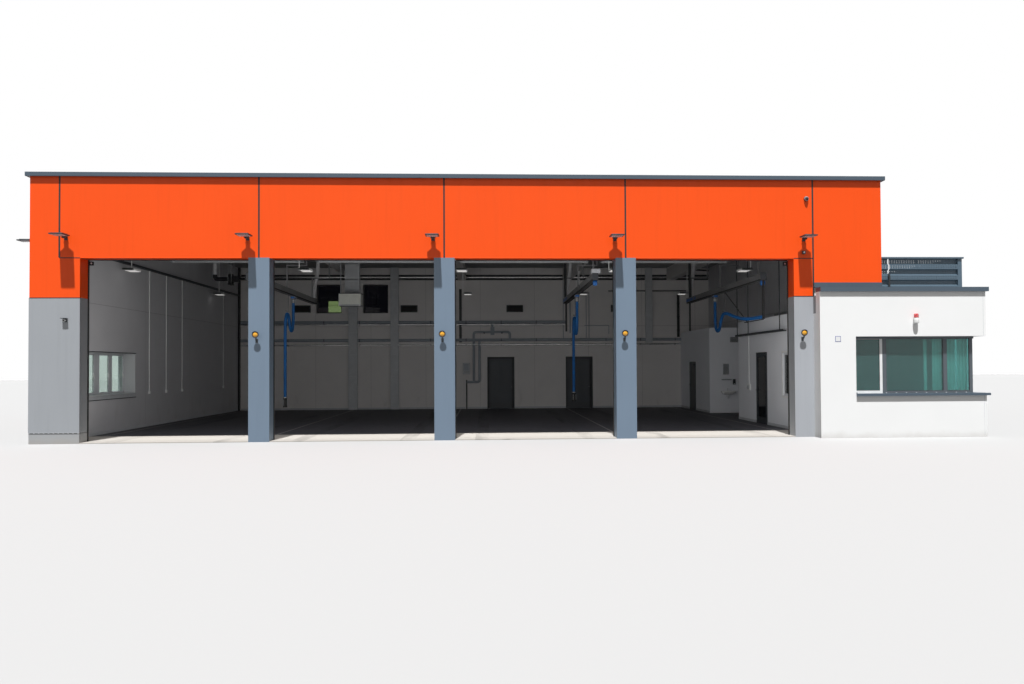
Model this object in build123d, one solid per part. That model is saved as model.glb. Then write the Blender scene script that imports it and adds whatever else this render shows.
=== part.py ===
from build123d import *
import math
import os

# Fire station: a flat-roofed vehicle hall with four open bays and a low side annex.
# Millimetres. +Z is up, +Y runs into the building, +X is to the right of the facade.
# The origin is the middle of the foot of the centre pillar.

# Bays and pillars
BAY = 4650
PILLAR_W = 522
PILLAR_D = 550
SOFFIT = 4640
FRONT = -PILLAR_D / 2
HALL_FRONT = FRONT + PILLAR_D

# Hall shell
LEFT = -10270
RIGHT = 11370
CORNER_PIER_W = 1225
LEFT_WALL_T = 530
RIGHT_WALL_T = 350
BACK_WALL_T = 500
HALL_DEPTH = 18400
PARAPET = 6670
COPING_H = 95
COPING_OUT = 90
COPING_W = 480
CEILING = 6240
DECK_T = 200
GIRDER_W = 350
GIRDER_DROP = 550
FLOOR_T = 20

# Cladding
SKIN = 30
JOINT = 12
PIER_JOINT = 720
GREY_TOP = 3640
PLINTH_H = 250
VENT_H = 22

# Left wall window group, measured from the facade plane
LEFT_WINDOW_START = 2250
LEFT_WINDOW_END = 5850
LEFT_WINDOW_SILL = 1120
LEFT_WINDOW_HEAD = 2310
LEFT_WINDOW_POSTS = [(3570, 3960), (4670, 4920)]

# Two high windows in the back wall
BACK_WINDOW_W = 1110
BACK_WINDOW_H = 1270
BACK_WINDOW_SILL = 4250
BACK_WINDOW_X = [-5835, -3805]

# Personnel doors
BACK_DOOR_H = 2300
BACK_DOOR_W = 1200
BACK_DOOR_X = [1700, 5180]
ROOM_DOOR_W = 1200
ROOM_DOOR_H = 2250
ROOM_DOOR_START = 4960
REAR_DOOR_START = 15330
REAR_DOOR_H = 2010
DOOR_FRAME = 50
DOOR_T = 50
DOOR_GAP = 6

# Rooms inside the hall
ROOM_X = 9750
ROOM_TOP = 3340
ROOM_SLAB_T = 150
PARTITION_T = 120
ROOM_DEPTH = 8400
REAR_ROOM_START = 12790
ROOM_WINDOW_START = 2150
ROOM_WINDOW_END = 3350
ROOM_WINDOW_SILL = 970
ROOM_WINDOW_HEAD = 2220

# Annex
ANNEX_LEFT = 9545
ANNEX_RIGHT = 13880
ANNEX_OUT = 500
ANNEX_WALL_T = 300
ANNEX_TOP = 3730
ANNEX_COPING_H = 110
ANNEX_COPING_OUT = 66
ANNEX_ROOF_TOP = 3640
CORNER_WINDOW_X = 10470
CORNER_WINDOW_RETURN = 1900
CORNER_WINDOW_SILL = 1120
CORNER_WINDOW_HEAD = 2580
SILL_T = 60
SILL_OUT = 74
GLAZING_SET_BACK = 220
FRAME_D = 60
FRAME_W = 60
GLASS_T = 24
ORANGE_FOOT = 4000
FLASHING_FOOT = 3870

LEFT_FRAME_SET_BACK = 120
BACK_FRAME_SET_BACK = 300
VENT_OUT = 8

# Corner window
SASH_W = 773
SASH_BAR = 70
CORNER_POSTS = [11350, 12850, 12950]
SHADE_BOX_D = 60
SHADE_BOX_H = 60
BLIND_RAIL = 40
BLIND_T = 6
BLIND_IN = 15
BLIND_UP = 30
BLIND_PANELS = [(1500, 1410), (1270, 1020), (880, 660), (610, 340)]

# Screen on the annex roof: a sheet folded into wide ribs, on posts
SCREEN_SET_BACK = 500
SCREEN_SIDE = 110
SCREEN_TOP = 4720
SCREEN_BANDS = 6
SCREEN_RIB_D = 60
SCREEN_SLOPE = 25
SCREEN_T = 8
SCREEN_CAP = 40
SCREEN_CAP_OUT = 40
SCREEN_POST = 50
SCREEN_POSTS_FRONT = 3
SCREEN_POSTS_SIDE = 6
FLASHING_OUT = 40

# Hinges, handles and frames of the doors
HINGE_R = 9
HINGE_SEAT = 0.3
HINGE_LOW = 200
HINGE_H = 100
HINGE_PLATE = 40
STILE_W = 100
HANDLE_IN = 60
HANDLE_SEAT = 0.3
HANDLE_L = 125
HANDLE_T = 14
HANDLE_Z = 1050
HANDLE_NECK = 45
HANDLE_PLATE_W = 44
HANDLE_PLATE_T = 8
HANDLE_PLATE_UP = 50
HANDLE_PLATE_DOWN = 130
FRAME_OUT = 10
BACK_FRAME_D = 120

# Raised sectional doors
LEAF_LAP = 10
LEAF_L = 4700
LEAF_T = 45
LEAF_PANELS = 8
LEAF_JOINT = 4
LEAF_START = 1000
TRACK_Z = 5300
TRACK_W = 40
TRACK_D = 70
TRACK_BEND = 600
TRACK_CLEAR = 0.3
TRACK_END = 6700
TRACK_HANGERS = [2500, 6550]
TRACK_HANGER_T = 40
CROSS_BAR_D = 60
CROSS_BAR_H = 90

# Floodlights over the pillars, measured from the pillar lines
FLOOD_SHIFT = -280
PIER_FLOOD_IN = 345
END_FLOOD_SHIFT = 10
FLOOD_Z = 5140
FLOOD_W = 340
FLOOD_L = 560
FLOOD_T = 40
FLOOD_ARM = 130
FLOOD_NECK_W = 110
FLOOD_SHOULDER = 50
FLOOD_KNUCKLE_R = 34
FLOOD_FOOT = (90, 140)
FLOOD_FOOT_T = 12
SIDE_FLOOD_Y = 800

# Warning beacons and small fittings on the facade
BEACON_SHIFT = -50
BEACON_Z = 2690
BEACON_R = 72
BEACON_D = 90
BEACON_OUT = 60
BEACON_HOOD_T = 8
BEACON_HOOD_OUT = 50
BEACON_NOSE = 18
BEACON_ARM_W = 32
BEACON_ARM_DOWN = 44
PIER_CAMERA_IN = 355
PIER_CAMERA_Z = 3050
PIER_CAMERA_SIZE = (70, 80, 60)
DOME_CAMERA_SHIFT = 85
DOME_CAMERA_Z = 6180
DOME_R = 62
SENSOR_Z = 4780
SENSOR_SIZE = (80, 90, 80)
ALARM_IN = 1860
ALARM_Z = 2907
ALARM_R = 67
ALARM_RIM = 6
ALARM_OUT = 15
ALARM_BASE_H = 143
ALARM_CAP_H = 107

# Exhaust rails, measured from the pillar lines, with their trolleys and hoses
RAIL_SHIFT = -615
RAIL_Z = 4210
RAIL_W = 160
RAIL_H = 190
RAIL_SLOT_W = 50
RAIL_SLOT_D = 30
RAIL_START = 1000
RAIL_END = 11000
RAIL_HANGERS = [1500, 6000, 10500]
RAIL_HANGER_W = 40
RAIL_ARM_SHARE = 7 / 9
TROLLEY_L = 260
TROLLEY_H = 90
TROLLEY_IN = 20
CLAMP_R = 62
HOSE_R = 50
HOSE_TOP = 3980
HOSE_SIDES = 6
SADDLE_W = 90
SADDLE_L = 140
SADDLE_H = 30
SADDLE_ROD = 16
NOZZLE_R = 70
NOZZLE_L = 330
POLE_W = 60

# Routes of the hoses, as distance from the facade and height
LEFT_HOSE = [
    (7575, 3980), (7575, 3660), (7555, 3320), (7455, 3120),
    (7235, 3040), (7035, 3140), (6935, 3340), (6815, 3530),
    (6595, 3600), (6395, 3500), (6295, 3260), (6265, 2850), (6280, 2150), (6270, 1450), (6270, 950),
]
MIDDLE_HOSE = [
    (6975, 3980), (6975, 3640), (6995, 3280), (7105, 3020),
    (7335, 2920), (7545, 3020), (7655, 3240), (7775, 3440),
    (7995, 3520), (8195, 3420), (8305, 3180), (8335, 2760), (8320, 2100), (8330, 1450), (8330, 1000),
]
RIGHT_HOSE = [
    (7275, 3980), (7275, 3660), (7255, 3280), (7155, 3060),
    (6915, 2970), (6675, 3050), (6515, 3250), (6355, 3430),
    (6075, 3530), (5575, 3500), (4775, 3360), (3775, 3240), (2875, 3200), (2125, 3195), (1625, 3195),
]

# Hanging heater, air ducts and lamps
HEATER_SHIFT = 610
HEATER_Y = 11700
HEATER_Z = 4170
HEATER_SIZE = (820, 600, 480)
HEATER_LIP = 40
HEATER_IN = 70
HANGER_ROD = 24
AIR_DUCT_SIZE = (520, 450)
LAMP_SHIFT = 330
LAMP_ROD_SHIFT = 140
LAMP_Y = [4000, 13500]
LAMP_W = 320
LAMP_L = 620
LAMP_H = 50
LAMP_BELOW_TRACK = 540

# Pipes, ducts and boxes on the inner walls
PIPE_Z = [2860, 3780]
PIPE_D = 60
THIN_PIPE_D = 34
THIN_PIPE_Z = 3040
HIGH_PIPE_Z = 5790
WALL_DUCTS = [(-4960, 390, FLOOR_T), (-3130, 350, FLOOR_T), (8150, 300, 2900)]
WALL_DUCT_D = 180
DROP_PIPES = [(-130, 110, 2950, 4700), (480, 60, 1180, 3160), (620, 60, 1180, 3160), (9580, 110, 2950, 4700)]
MANIFOLD_X = (760, 2110)
MANIFOLD_Z = 3310
PANEL_BOX = (30, 340, 1550, 2040)
PANEL_BOX_D = 140
STANDPIPE_X = 160
STANDPIPE_TOP = 1290
STANDPIPE_D = 50
BOX_W = 730
BOX_H = 310
BOX_D = 100
BOX_Z = 4280
CABLE_RAIL_Z = 4990
CABLE_RAIL_W = 110
CABLE_RAIL_H = 60
CABLE_RAIL_START = 2700
WALL_CONDUITS = [(7060, 1100), (8710, 1100), (10440, 1100), (15890, 1100)]
CONDUIT_D = 30
DOWNPIPE_D = 120
TRAY_Z = 3080
TRAY_H = 60
TRAY_OUT = 110
TRAY_START = 2900
TRAY_CONDUITS = [3300, 6700]
SWITCH_Y = 6840
SWITCH_Z = 1050
SWITCH_W = 300
SWITCH_H = 190
SWITCH_D = 60

# Washbasin corner
BASIN_X = 10430
BASIN_W = 560
BASIN_D = 420
BASIN_H = 150
BASIN_Z = 880
BASIN_RIM = 35
WASTE_D = 40
TAP_H = 110
MIRROR_W = 230
MIRROR_Z = (1510, 1930)
MIRROR_T = 20
SHELF_W = 380
SHELF_D = 120
SHELF_Z = 1300
SHELF_T = 20

# Values that follow
PARTY_TOP = PARAPET + COPING_H
BACK = FRONT + HALL_DEPTH
BACK_OUT = BACK + BACK_WALL_T
LEFT_IN = LEFT + LEFT_WALL_T
RIGHT_IN = RIGHT - RIGHT_WALL_T
PIER_RIGHT = LEFT + CORNER_PIER_W
END_PILLAR_LEFT = 2 * BAY - PILLAR_W / 2
ANNEX_FRONT = FRONT - ANNEX_OUT
ANNEX_IN = ANNEX_FRONT + ANNEX_WALL_T
ROOM_BACK = FRONT + ROOM_DEPTH
ANNEX_BACK_OUT = ROOM_BACK + ANNEX_WALL_T
SIDE_IN = ANNEX_RIGHT - ANNEX_WALL_T
ROOM_CEILING = ROOM_TOP - ROOM_SLAB_T
COPING_TOP = ANNEX_TOP + ANNEX_COPING_H
PILLAR_LINES = [-BAY, 0, BAY]
RAIL_LINES = [-BAY, BAY, 2 * BAY]
GIRDER_LINES = [-BAY, 0, BAY, 2 * BAY]
RAIL_X = [line + RAIL_SHIFT for line in RAIL_LINES]
ALARM_X = ANNEX_RIGHT - ALARM_IN
END_JOINT = ANNEX_LEFT + 11
LAMP_Z = TRACK_Z - LAMP_BELOW_TRACK
RAIL_ARM_Z = RAIL_Z + RAIL_H + RAIL_ARM_SHARE * (TRACK_Z - RAIL_Z - RAIL_H)
MITRE_REACH = 999
HOOD_TURNS = [(math.cos(math.radians(turn)), math.sin(math.radians(turn)))
              for turn in (15, 52, 90, 128, 165)]
BEND_TURNS = [(math.cos(math.radians(turn)), math.sin(math.radians(turn)))
              for turn in range(0, 91, 15)]
BAY_EDGES = [
    (PIER_RIGHT, -BAY - PILLAR_W / 2),
    (-BAY + PILLAR_W / 2, -PILLAR_W / 2),
    (PILLAR_W / 2, BAY - PILLAR_W / 2),
    (BAY + PILLAR_W / 2, END_PILLAR_LEFT),
]


def block(x0, x1, y0, y1, z0, z1):
    """A box between two corners."""
    middle = Pos((x0 + x1) / 2, (y0 + y1) / 2, (z0 + z1) / 2)
    return middle * Box(x1 - x0, y1 - y0, z1 - z0)


def spread(x0, x1, y0, y1, z0, z1):
    """A box between two corners whose Y may come in either order."""
    return block(x0, x1, min(y0, y1), max(y0, y1), z0, z1)


def frame_x(x0, x1, y0, y1, z0, z1, bar):
    """A rectangular window or door frame in a wall that runs along X."""
    return block(x0, x1, y0, y1, z0, z1) - block(x0 + bar, x1 - bar, y0 - 1, y1 + 1, z0 + bar, z1 - bar)


def frame_y(x0, x1, y0, y1, z0, z1, bar):
    """A rectangular window or door frame in a wall that runs along Y."""
    return block(x0, x1, y0, y1, z0, z1) - block(x0 - 1, x1 + 1, y0 + bar, y1 - bar, z0 + bar, z1 - bar)


def drum(radius, start, end, top_radius=None, sides=16):
    """A many-sided drum, straight or tapered, along the local Z axis."""
    foot = Plane.XY.offset(start) * RegularPolygon(radius, sides)
    if top_radius is None:
        return extrude(foot, end - start)
    return loft([foot, Plane.XY.offset(end) * RegularPolygon(top_radius, sides)])


def ahead(x, y, z):
    """A place whose local Z axis points out of the facade."""
    return Pos(x, y, z) * Rot(90, 0, 0)


def save(name, *solids):
    """Write one piece, which may be several solids, under its own name."""
    shape = solids[0] if len(solids) == 1 else Compound(children=list(solids))
    export_step(shape, "parts/" + name + ".step")


def split(start, end, count):
    """Even panel edges along a wall, with a joint between neighbours."""
    step = (end - start) / count
    return [(start + i * step + JOINT / 2, start + (i + 1) * step - JOINT / 2) for i in range(count)]


def back_windows():
    """The two holes of the high windows in the back wall and its cladding."""
    holes = []
    for x in BACK_WINDOW_X:
        side = BACK_WINDOW_W / 2
        top = BACK_WINDOW_SILL + BACK_WINDOW_H
        holes.append(block(x - side, x + side, BACK - 1, BACK_OUT + 1, BACK_WINDOW_SILL, top))
    return holes


def floor():
    """The floor screed of hall and annex, cut round the pillars."""
    hall = block(LEFT_IN, RIGHT_IN, FRONT, BACK, 0, FLOOR_T)
    annex = block(ROOM_X, SIDE_IN, ANNEX_IN, ROOM_BACK, 0, FLOOR_T)
    slab = hall + annex
    slab -= block(LEFT_IN - 1, PIER_RIGHT, FRONT - 1, HALL_FRONT, -1, FLOOR_T + 1)
    for line in PILLAR_LINES:
        slab -= block(line - PILLAR_W / 2, line + PILLAR_W / 2, FRONT - 1, HALL_FRONT, -1, FLOOR_T + 1)
    slab -= block(END_PILLAR_LEFT, ROOM_X, FRONT - 1, HALL_FRONT, -1, FLOOR_T + 1)
    save("floor", slab)


def hall_walls():
    """The outer walls behind the cladding, and the lintel over the bays."""
    left = block(LEFT + SKIN, LEFT_IN, HALL_FRONT, BACK_OUT - SKIN, 0, PARAPET)
    left -= block(LEFT - 1, LEFT_IN + 1, FRONT + LEFT_WINDOW_START, FRONT + LEFT_WINDOW_END,
                  LEFT_WINDOW_SILL, LEFT_WINDOW_HEAD)
    save("left_wall", left)

    door_a, door_b = BACK_DOOR_X
    half = BACK_DOOR_W / 2
    west = block(LEFT_IN, door_a - half, BACK, BACK_OUT - SKIN, 0, PARAPET)
    for hole in back_windows():
        west -= hole
    save("back_wall_left", west)
    save("back_wall_middle", block(door_a + half, door_b - half, BACK, BACK_OUT - SKIN, 0, PARAPET))
    save("back_wall_right", block(door_b + half, RIGHT_IN, BACK, BACK_OUT - SKIN, 0, PARAPET))
    heads = [block(x - half, x + half, BACK, BACK_OUT - SKIN, BACK_DOOR_H, PARAPET) for x in BACK_DOOR_X]
    save("back_wall_heads", *heads)

    save("right_wall", block(RIGHT_IN, RIGHT - SKIN, ROOM_BACK, BACK_OUT - SKIN, 0, PARAPET))
    save("right_wall_upper", block(RIGHT_IN, RIGHT - SKIN, HALL_FRONT, ROOM_BACK, ANNEX_ROOF_TOP, PARAPET))

    beam = block(LEFT + SKIN, RIGHT - SKIN, FRONT + SKIN, HALL_FRONT, SOFFIT + SKIN, PARAPET)
    beam += block(ANNEX_LEFT, RIGHT - SKIN, FRONT + SKIN, HALL_FRONT, ANNEX_ROOF_TOP, SOFFIT + SKIN)
    save("front_lintel", beam)


def pillars():
    """The corner pier behind its cladding, the three bay pillars and the end pillar."""
    save("corner_pier", block(LEFT + SKIN, PIER_RIGHT - SKIN, FRONT + SKIN, HALL_FRONT, 0, SOFFIT + SKIN))
    columns = []
    for x in PILLAR_LINES:
        side = PILLAR_W / 2
        column = block(x - side, x + side, FRONT, HALL_FRONT, 0, SOFFIT)
        columns.append(column + block(x - side, x + side, FRONT + SKIN, HALL_FRONT, SOFFIT, SOFFIT + SKIN))
    save("bay_pillars", *columns)
    foot = block(END_PILLAR_LEFT, ANNEX_LEFT, FRONT, HALL_FRONT, 0, GREY_TOP)
    head = block(END_PILLAR_LEFT + SKIN, ANNEX_LEFT, FRONT + SKIN, HALL_FRONT, GREY_TOP, SOFFIT + SKIN)
    save("end_pillar", foot + head)


def roof():
    """The roof deck between the parapets, the girders below it and the coping on top."""
    save("roof_deck", block(LEFT_IN, RIGHT_IN, HALL_FRONT, BACK, CEILING, CEILING + DECK_T))
    girders = []
    for x in GIRDER_LINES:
        girders.append(block(x - GIRDER_W / 2, x + GIRDER_W / 2, HALL_FRONT, BACK,
                             CEILING - GIRDER_DROP, CEILING))
    save("roof_girders", *girders)
    outer = block(
        LEFT - COPING_OUT, RIGHT + COPING_OUT, FRONT - COPING_OUT, BACK_OUT + COPING_OUT, PARAPET, PARTY_TOP
    )
    inner = block(
        LEFT - COPING_OUT + COPING_W,
        RIGHT + COPING_OUT - COPING_W,
        FRONT - COPING_OUT + COPING_W,
        BACK_OUT + COPING_OUT - COPING_W,
        PARAPET - 1,
        PARTY_TOP + 1,
    )
    save("roof_coping", outer - inner)


def orange_cladding():
    """Orange cassettes: the fascia, the heads of pier and end pillar, and the upper sides."""
    y0 = FRONT
    y1 = FRONT + SKIN
    gap = JOINT / 2
    joints = [LEFT + PIER_JOINT] + PILLAR_LINES + [END_JOINT]
    panels = [block(LEFT, joints[0] - gap, y0, y1, GREY_TOP, PARAPET)]
    for a, b in zip(joints, joints[1:]):
        panels.append(block(a + gap, b - gap, y0, y1, SOFFIT, PARAPET))
    panels.append(block(END_JOINT + gap, RIGHT, y0, y1, ORANGE_FOOT, PARAPET))
    lower = SOFFIT - JOINT
    panels[0] += block(joints[0] - gap, PIER_RIGHT, y0, y1, GREY_TOP, lower)
    panels.append(block(END_PILLAR_LEFT, END_JOINT - gap, y0, y1, GREY_TOP + JOINT, lower))
    reveal = y1 + 2
    panels.append(block(PIER_RIGHT - SKIN, PIER_RIGHT, reveal, HALL_FRONT, GREY_TOP, lower))
    panels.append(block(END_PILLAR_LEFT, END_PILLAR_LEFT + SKIN, reveal, HALL_FRONT, GREY_TOP, lower))
    for a, b in BAY_EDGES:
        panels.append(block(a, b, reveal, HALL_FRONT, SOFFIT, SOFFIT + SKIN))
    for a, b in split(reveal, BACK_OUT - SKIN - 2, 4):
        panels.append(block(LEFT, LEFT + SKIN, a, b, SOFFIT, PARAPET))
        panels.append(block(RIGHT - SKIN, RIGHT, a, b, SOFFIT, PARAPET))
    for a, b in split(LEFT, RIGHT, 5):
        panel = block(a, b, BACK_OUT - SKIN, BACK_OUT, SOFFIT, PARAPET)
        for hole in back_windows():
            panel -= hole
        panels.append(panel)
    save("orange_cladding", *panels)


def grey_cladding():
    """Grey cassettes: the corner pier above its plinth and the lower outer walls."""
    y1 = FRONT + SKIN
    foot = PLINTH_H + VENT_H
    top = GREY_TOP - JOINT
    panels = [block(LEFT - 14, PIER_RIGHT, FRONT, y1, foot, top)]
    reveal = y1 + 2
    panels.append(block(PIER_RIGHT - SKIN, PIER_RIGHT, reveal, HALL_FRONT, foot, top))
    window_a = FRONT + LEFT_WINDOW_START
    window_b = FRONT + LEFT_WINDOW_END
    high = SOFFIT - JOINT
    panels.append(block(LEFT, LEFT + SKIN, reveal, window_a, foot, high))
    panels.append(block(LEFT, LEFT + SKIN, window_a + 2, window_b - 2, foot, LEFT_WINDOW_SILL - 40))
    panels.append(block(LEFT, LEFT + SKIN, window_a + 2, window_b - 2, LEFT_WINDOW_HEAD, high))
    for a, b in split(window_b - JOINT / 2, BACK_OUT - SKIN - 2, 3):
        panels.append(block(LEFT, LEFT + SKIN, a, b, foot, high))
    door_a, door_b = BACK_DOOR_X
    half = BACK_DOOR_W / 2
    for a, b in split(LEFT, door_a - half, 3):
        panel = block(a, b, BACK_OUT - SKIN, BACK_OUT, foot, high)
        for hole in back_windows():
            panel -= hole
        panels.append(panel)
    panels.append(block(door_a + half, door_b - half, BACK_OUT - SKIN, BACK_OUT, foot, high))
    for x in BACK_DOOR_X:
        panels.append(block(x - half + 2, x + half - 2, BACK_OUT - SKIN, BACK_OUT, BACK_DOOR_H, high))
    for a, b in split(door_b + half - JOINT / 2, RIGHT, 2):
        panels.append(block(a, b, BACK_OUT - SKIN, BACK_OUT, foot, high))
    for a, b in split(ANNEX_BACK_OUT, BACK_OUT - SKIN - 2, 3):
        panels.append(block(RIGHT - SKIN, RIGHT, a, b, foot, high))
    panels.append(block(RIGHT - SKIN, RIGHT, reveal, ANNEX_BACK_OUT - 2, COPING_TOP, high))
    save("grey_cladding", *panels)


def plinth():
    """The footing of the corner pier with its ventilation strip."""
    foot = block(LEFT, PIER_RIGHT, FRONT, FRONT + SKIN, 0, PLINTH_H)
    side = block(PIER_RIGHT - SKIN, PIER_RIGHT, FRONT + SKIN, HALL_FRONT, 0, PLINTH_H)
    vent = block(LEFT, PIER_RIGHT, FRONT - VENT_OUT, FRONT + SKIN, PLINTH_H, PLINTH_H + VENT_H)
    left = block(LEFT, LEFT + SKIN, FRONT + SKIN, BACK_OUT, 0, PLINTH_H)
    back = block(LEFT + SKIN, BACK_DOOR_X[0] - BACK_DOOR_W / 2, BACK_OUT - SKIN, BACK_OUT, 0, PLINTH_H)
    save("pier_plinth", foot + side + vent + left + back)


def windows():
    """Dark frames and panes of the left wall, the back wall and the inner room."""
    frames = []
    panes = []
    a = FRONT + LEFT_WINDOW_START
    b = FRONT + LEFT_WINDOW_END
    x0 = LEFT + LEFT_FRAME_SET_BACK
    x1 = x0 + FRAME_D
    left = frame_y(x0, x1, a, b, LEFT_WINDOW_SILL, LEFT_WINDOW_HEAD, FRAME_W)
    glass = block(x0 + 20, x0 + 20 + GLASS_T, a + FRAME_W, b - FRAME_W, LEFT_WINDOW_SILL + FRAME_W,
                  LEFT_WINDOW_HEAD - FRAME_W)
    for start, end in LEFT_WINDOW_POSTS:
        post = block(x0, x1, FRONT + start, FRONT + end, LEFT_WINDOW_SILL + FRAME_W,
                     LEFT_WINDOW_HEAD - FRAME_W)
        left += post
        glass -= post
    frames.append(left)
    panes += glass.solids()
    for x in BACK_WINDOW_X:
        side = BACK_WINDOW_W / 2
        y0 = BACK + BACK_FRAME_SET_BACK
        top = BACK_WINDOW_SILL + BACK_WINDOW_H
        frames.append(frame_x(x - side, x + side, y0, y0 + FRAME_D, BACK_WINDOW_SILL, top, FRAME_W))
        panes.append(block(x - side + FRAME_W, x + side - FRAME_W, y0 + 20, y0 + 20 + GLASS_T,
                           BACK_WINDOW_SILL + FRAME_W, top - FRAME_W))
    a = FRONT + ROOM_WINDOW_START
    b = FRONT + ROOM_WINDOW_END
    x0 = ROOM_X + 30
    frames.append(frame_y(x0, x0 + FRAME_D, a, b, ROOM_WINDOW_SILL, ROOM_WINDOW_HEAD, FRAME_W))
    panes.append(block(x0 + 20, x0 + 20 + GLASS_T, a + FRAME_W, b - FRAME_W, ROOM_WINDOW_SILL + FRAME_W,
                       ROOM_WINDOW_HEAD - FRAME_W))
    save("window_frames", *frames)
    save("window_glass", *panes)


def annex_walls():
    """The low side annex: a corner window cuts its front and side walls."""
    hole = block(CORNER_WINDOW_X, ANNEX_RIGHT + 1, ANNEX_FRONT - 1, ANNEX_FRONT + CORNER_WINDOW_RETURN,
                 CORNER_WINDOW_SILL - SILL_T, CORNER_WINDOW_HEAD)
    front = block(ANNEX_LEFT, ANNEX_RIGHT, ANNEX_FRONT, ANNEX_IN, 0, ANNEX_TOP) - hole
    front += block(ANNEX_LEFT, ROOM_X, ANNEX_IN, HALL_FRONT, 0, ROOM_CEILING)
    save("annex_front_wall", front)
    save("annex_side_wall", block(SIDE_IN, ANNEX_RIGHT, ANNEX_IN, ANNEX_BACK_OUT, 0, ANNEX_TOP) - hole)
    save("annex_back_wall", block(RIGHT - SKIN, SIDE_IN, ROOM_BACK, ANNEX_BACK_OUT, 0, ANNEX_TOP))

    deck = block(ANNEX_LEFT, SIDE_IN, ANNEX_IN, HALL_FRONT, ROOM_CEILING, ANNEX_ROOF_TOP)
    deck += block(RIGHT_IN, SIDE_IN, HALL_FRONT, ROOM_BACK, ROOM_CEILING, ANNEX_ROOF_TOP)
    save("annex_roof", deck)

    outer = block(ANNEX_LEFT, ANNEX_RIGHT + ANNEX_COPING_OUT, ANNEX_FRONT - ANNEX_COPING_OUT,
                  ANNEX_BACK_OUT + ANNEX_COPING_OUT, ANNEX_TOP, COPING_TOP)
    inner = block(ANNEX_LEFT - 2, SIDE_IN, ANNEX_IN, ROOM_BACK, ANNEX_TOP - 1, PARAPET)
    hall = block(ANNEX_LEFT - 2, RIGHT, FRONT - 2, BACK, ANNEX_TOP - 1, PARAPET)
    flashing = block(END_JOINT + JOINT / 2, RIGHT, FRONT - FLASHING_OUT, FRONT + SKIN,
                     FLASHING_FOOT, ORANGE_FOOT)
    save("annex_coping", outer - inner - hall, flashing)


def corner_window():
    """The window that turns the corner of the annex, with its sill and the blinds behind it."""
    y0 = ANNEX_FRONT + GLAZING_SET_BACK
    y1 = y0 + FRAME_D
    x1 = ANNEX_RIGHT - GLAZING_SET_BACK - 30
    x0 = x1 - FRAME_D
    foot = CORNER_WINDOW_SILL
    head = CORNER_WINDOW_HEAD
    end = ANNEX_FRONT + CORNER_WINDOW_RETURN
    frame = block(CORNER_WINDOW_X, x1, y0, y1, foot, head) + block(x0, x1, y0, end, foot, head)
    low = foot + FRAME_W
    high = head - FRAME_W
    edges = [CORNER_WINDOW_X + SASH_W] + CORNER_POSTS + [x0 - 25]
    spans = [(CORNER_WINDOW_X - 1, edges[0])]
    spans += [(edges[i], edges[i + 1]) for i in (1, 3)]
    for a, b in spans[1:]:
        frame -= block(a, b, y0 - 1, y1 + 1, low, high)
    frame -= block(*spans[0], y0 - 1, y1 + 1, foot - 1, head + 1)
    frame -= block(x0 - 1, x1 + 1, y1 + 60, end - FRAME_W, low, high)
    frame += block(CORNER_WINDOW_X, x1, y0 - SHADE_BOX_D, y0, head - SHADE_BOX_H, head)
    save("corner_window_frame", frame)

    sash = frame_x(CORNER_WINDOW_X, edges[0], y0, y1, foot, head, SASH_BAR)
    save("corner_window_sash", sash)

    panes = [block(a, b, y0 + 18, y0 + 18 + GLASS_T, low, high) for a, b in spans[1:]]
    panes.append(block(CORNER_WINDOW_X + SASH_BAR, edges[0] - SASH_BAR, y0 + 18, y0 + 18 + GLASS_T,
                       foot + SASH_BAR, head - SASH_BAR))
    panes.append(block(x1 - 18 - GLASS_T, x1 - 18, y1 + 60, end - FRAME_W, low, high))
    save("corner_window_glass", *panes)

    sill = block(CORNER_WINDOW_X, ANNEX_RIGHT + SILL_OUT, ANNEX_FRONT - SILL_OUT, ANNEX_IN,
                 foot - SILL_T, foot)
    sill += block(SIDE_IN, ANNEX_RIGHT + SILL_OUT, ANNEX_FRONT - SILL_OUT, end, foot - SILL_T, foot)
    save("corner_window_sill", sill)

    rail_y = ANNEX_IN + BLIND_UP
    rail = block(CORNER_WINDOW_X + 20, SIDE_IN - 40, rail_y, rail_y + BLIND_RAIL, head - BLIND_RAIL, head)
    rail += block(CORNER_WINDOW_X + 20, SIDE_IN - 40, ANNEX_IN, rail_y, head - 12, head)
    for a, b in BLIND_PANELS:
        rail += block(ANNEX_RIGHT - a, ANNEX_RIGHT - b, rail_y + BLIND_IN, rail_y + BLIND_IN + BLIND_T,
                      foot + BLIND_UP, head - BLIND_RAIL)
    save("window_blinds", rail)


def folded_sheet(foot, top):
    """Section of the screen's sheet as (distance out, height) points: bands in and out, the top one in."""
    band = (top - foot) / SCREEN_BANDS
    outs = [SCREEN_RIB_D * ((SCREEN_BANDS - 1 - i) % 2) for i in range(SCREEN_BANDS)]
    front = [(outs[0], foot)]
    for i in range(1, SCREEN_BANDS):
        z = foot + i * band
        front += [(outs[i - 1], z - SCREEN_SLOPE), (outs[i], z)]
    front.append((outs[-1], top))
    back = [(out - SCREEN_T, height) for out, height in reversed(front)]
    return front + back


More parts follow.
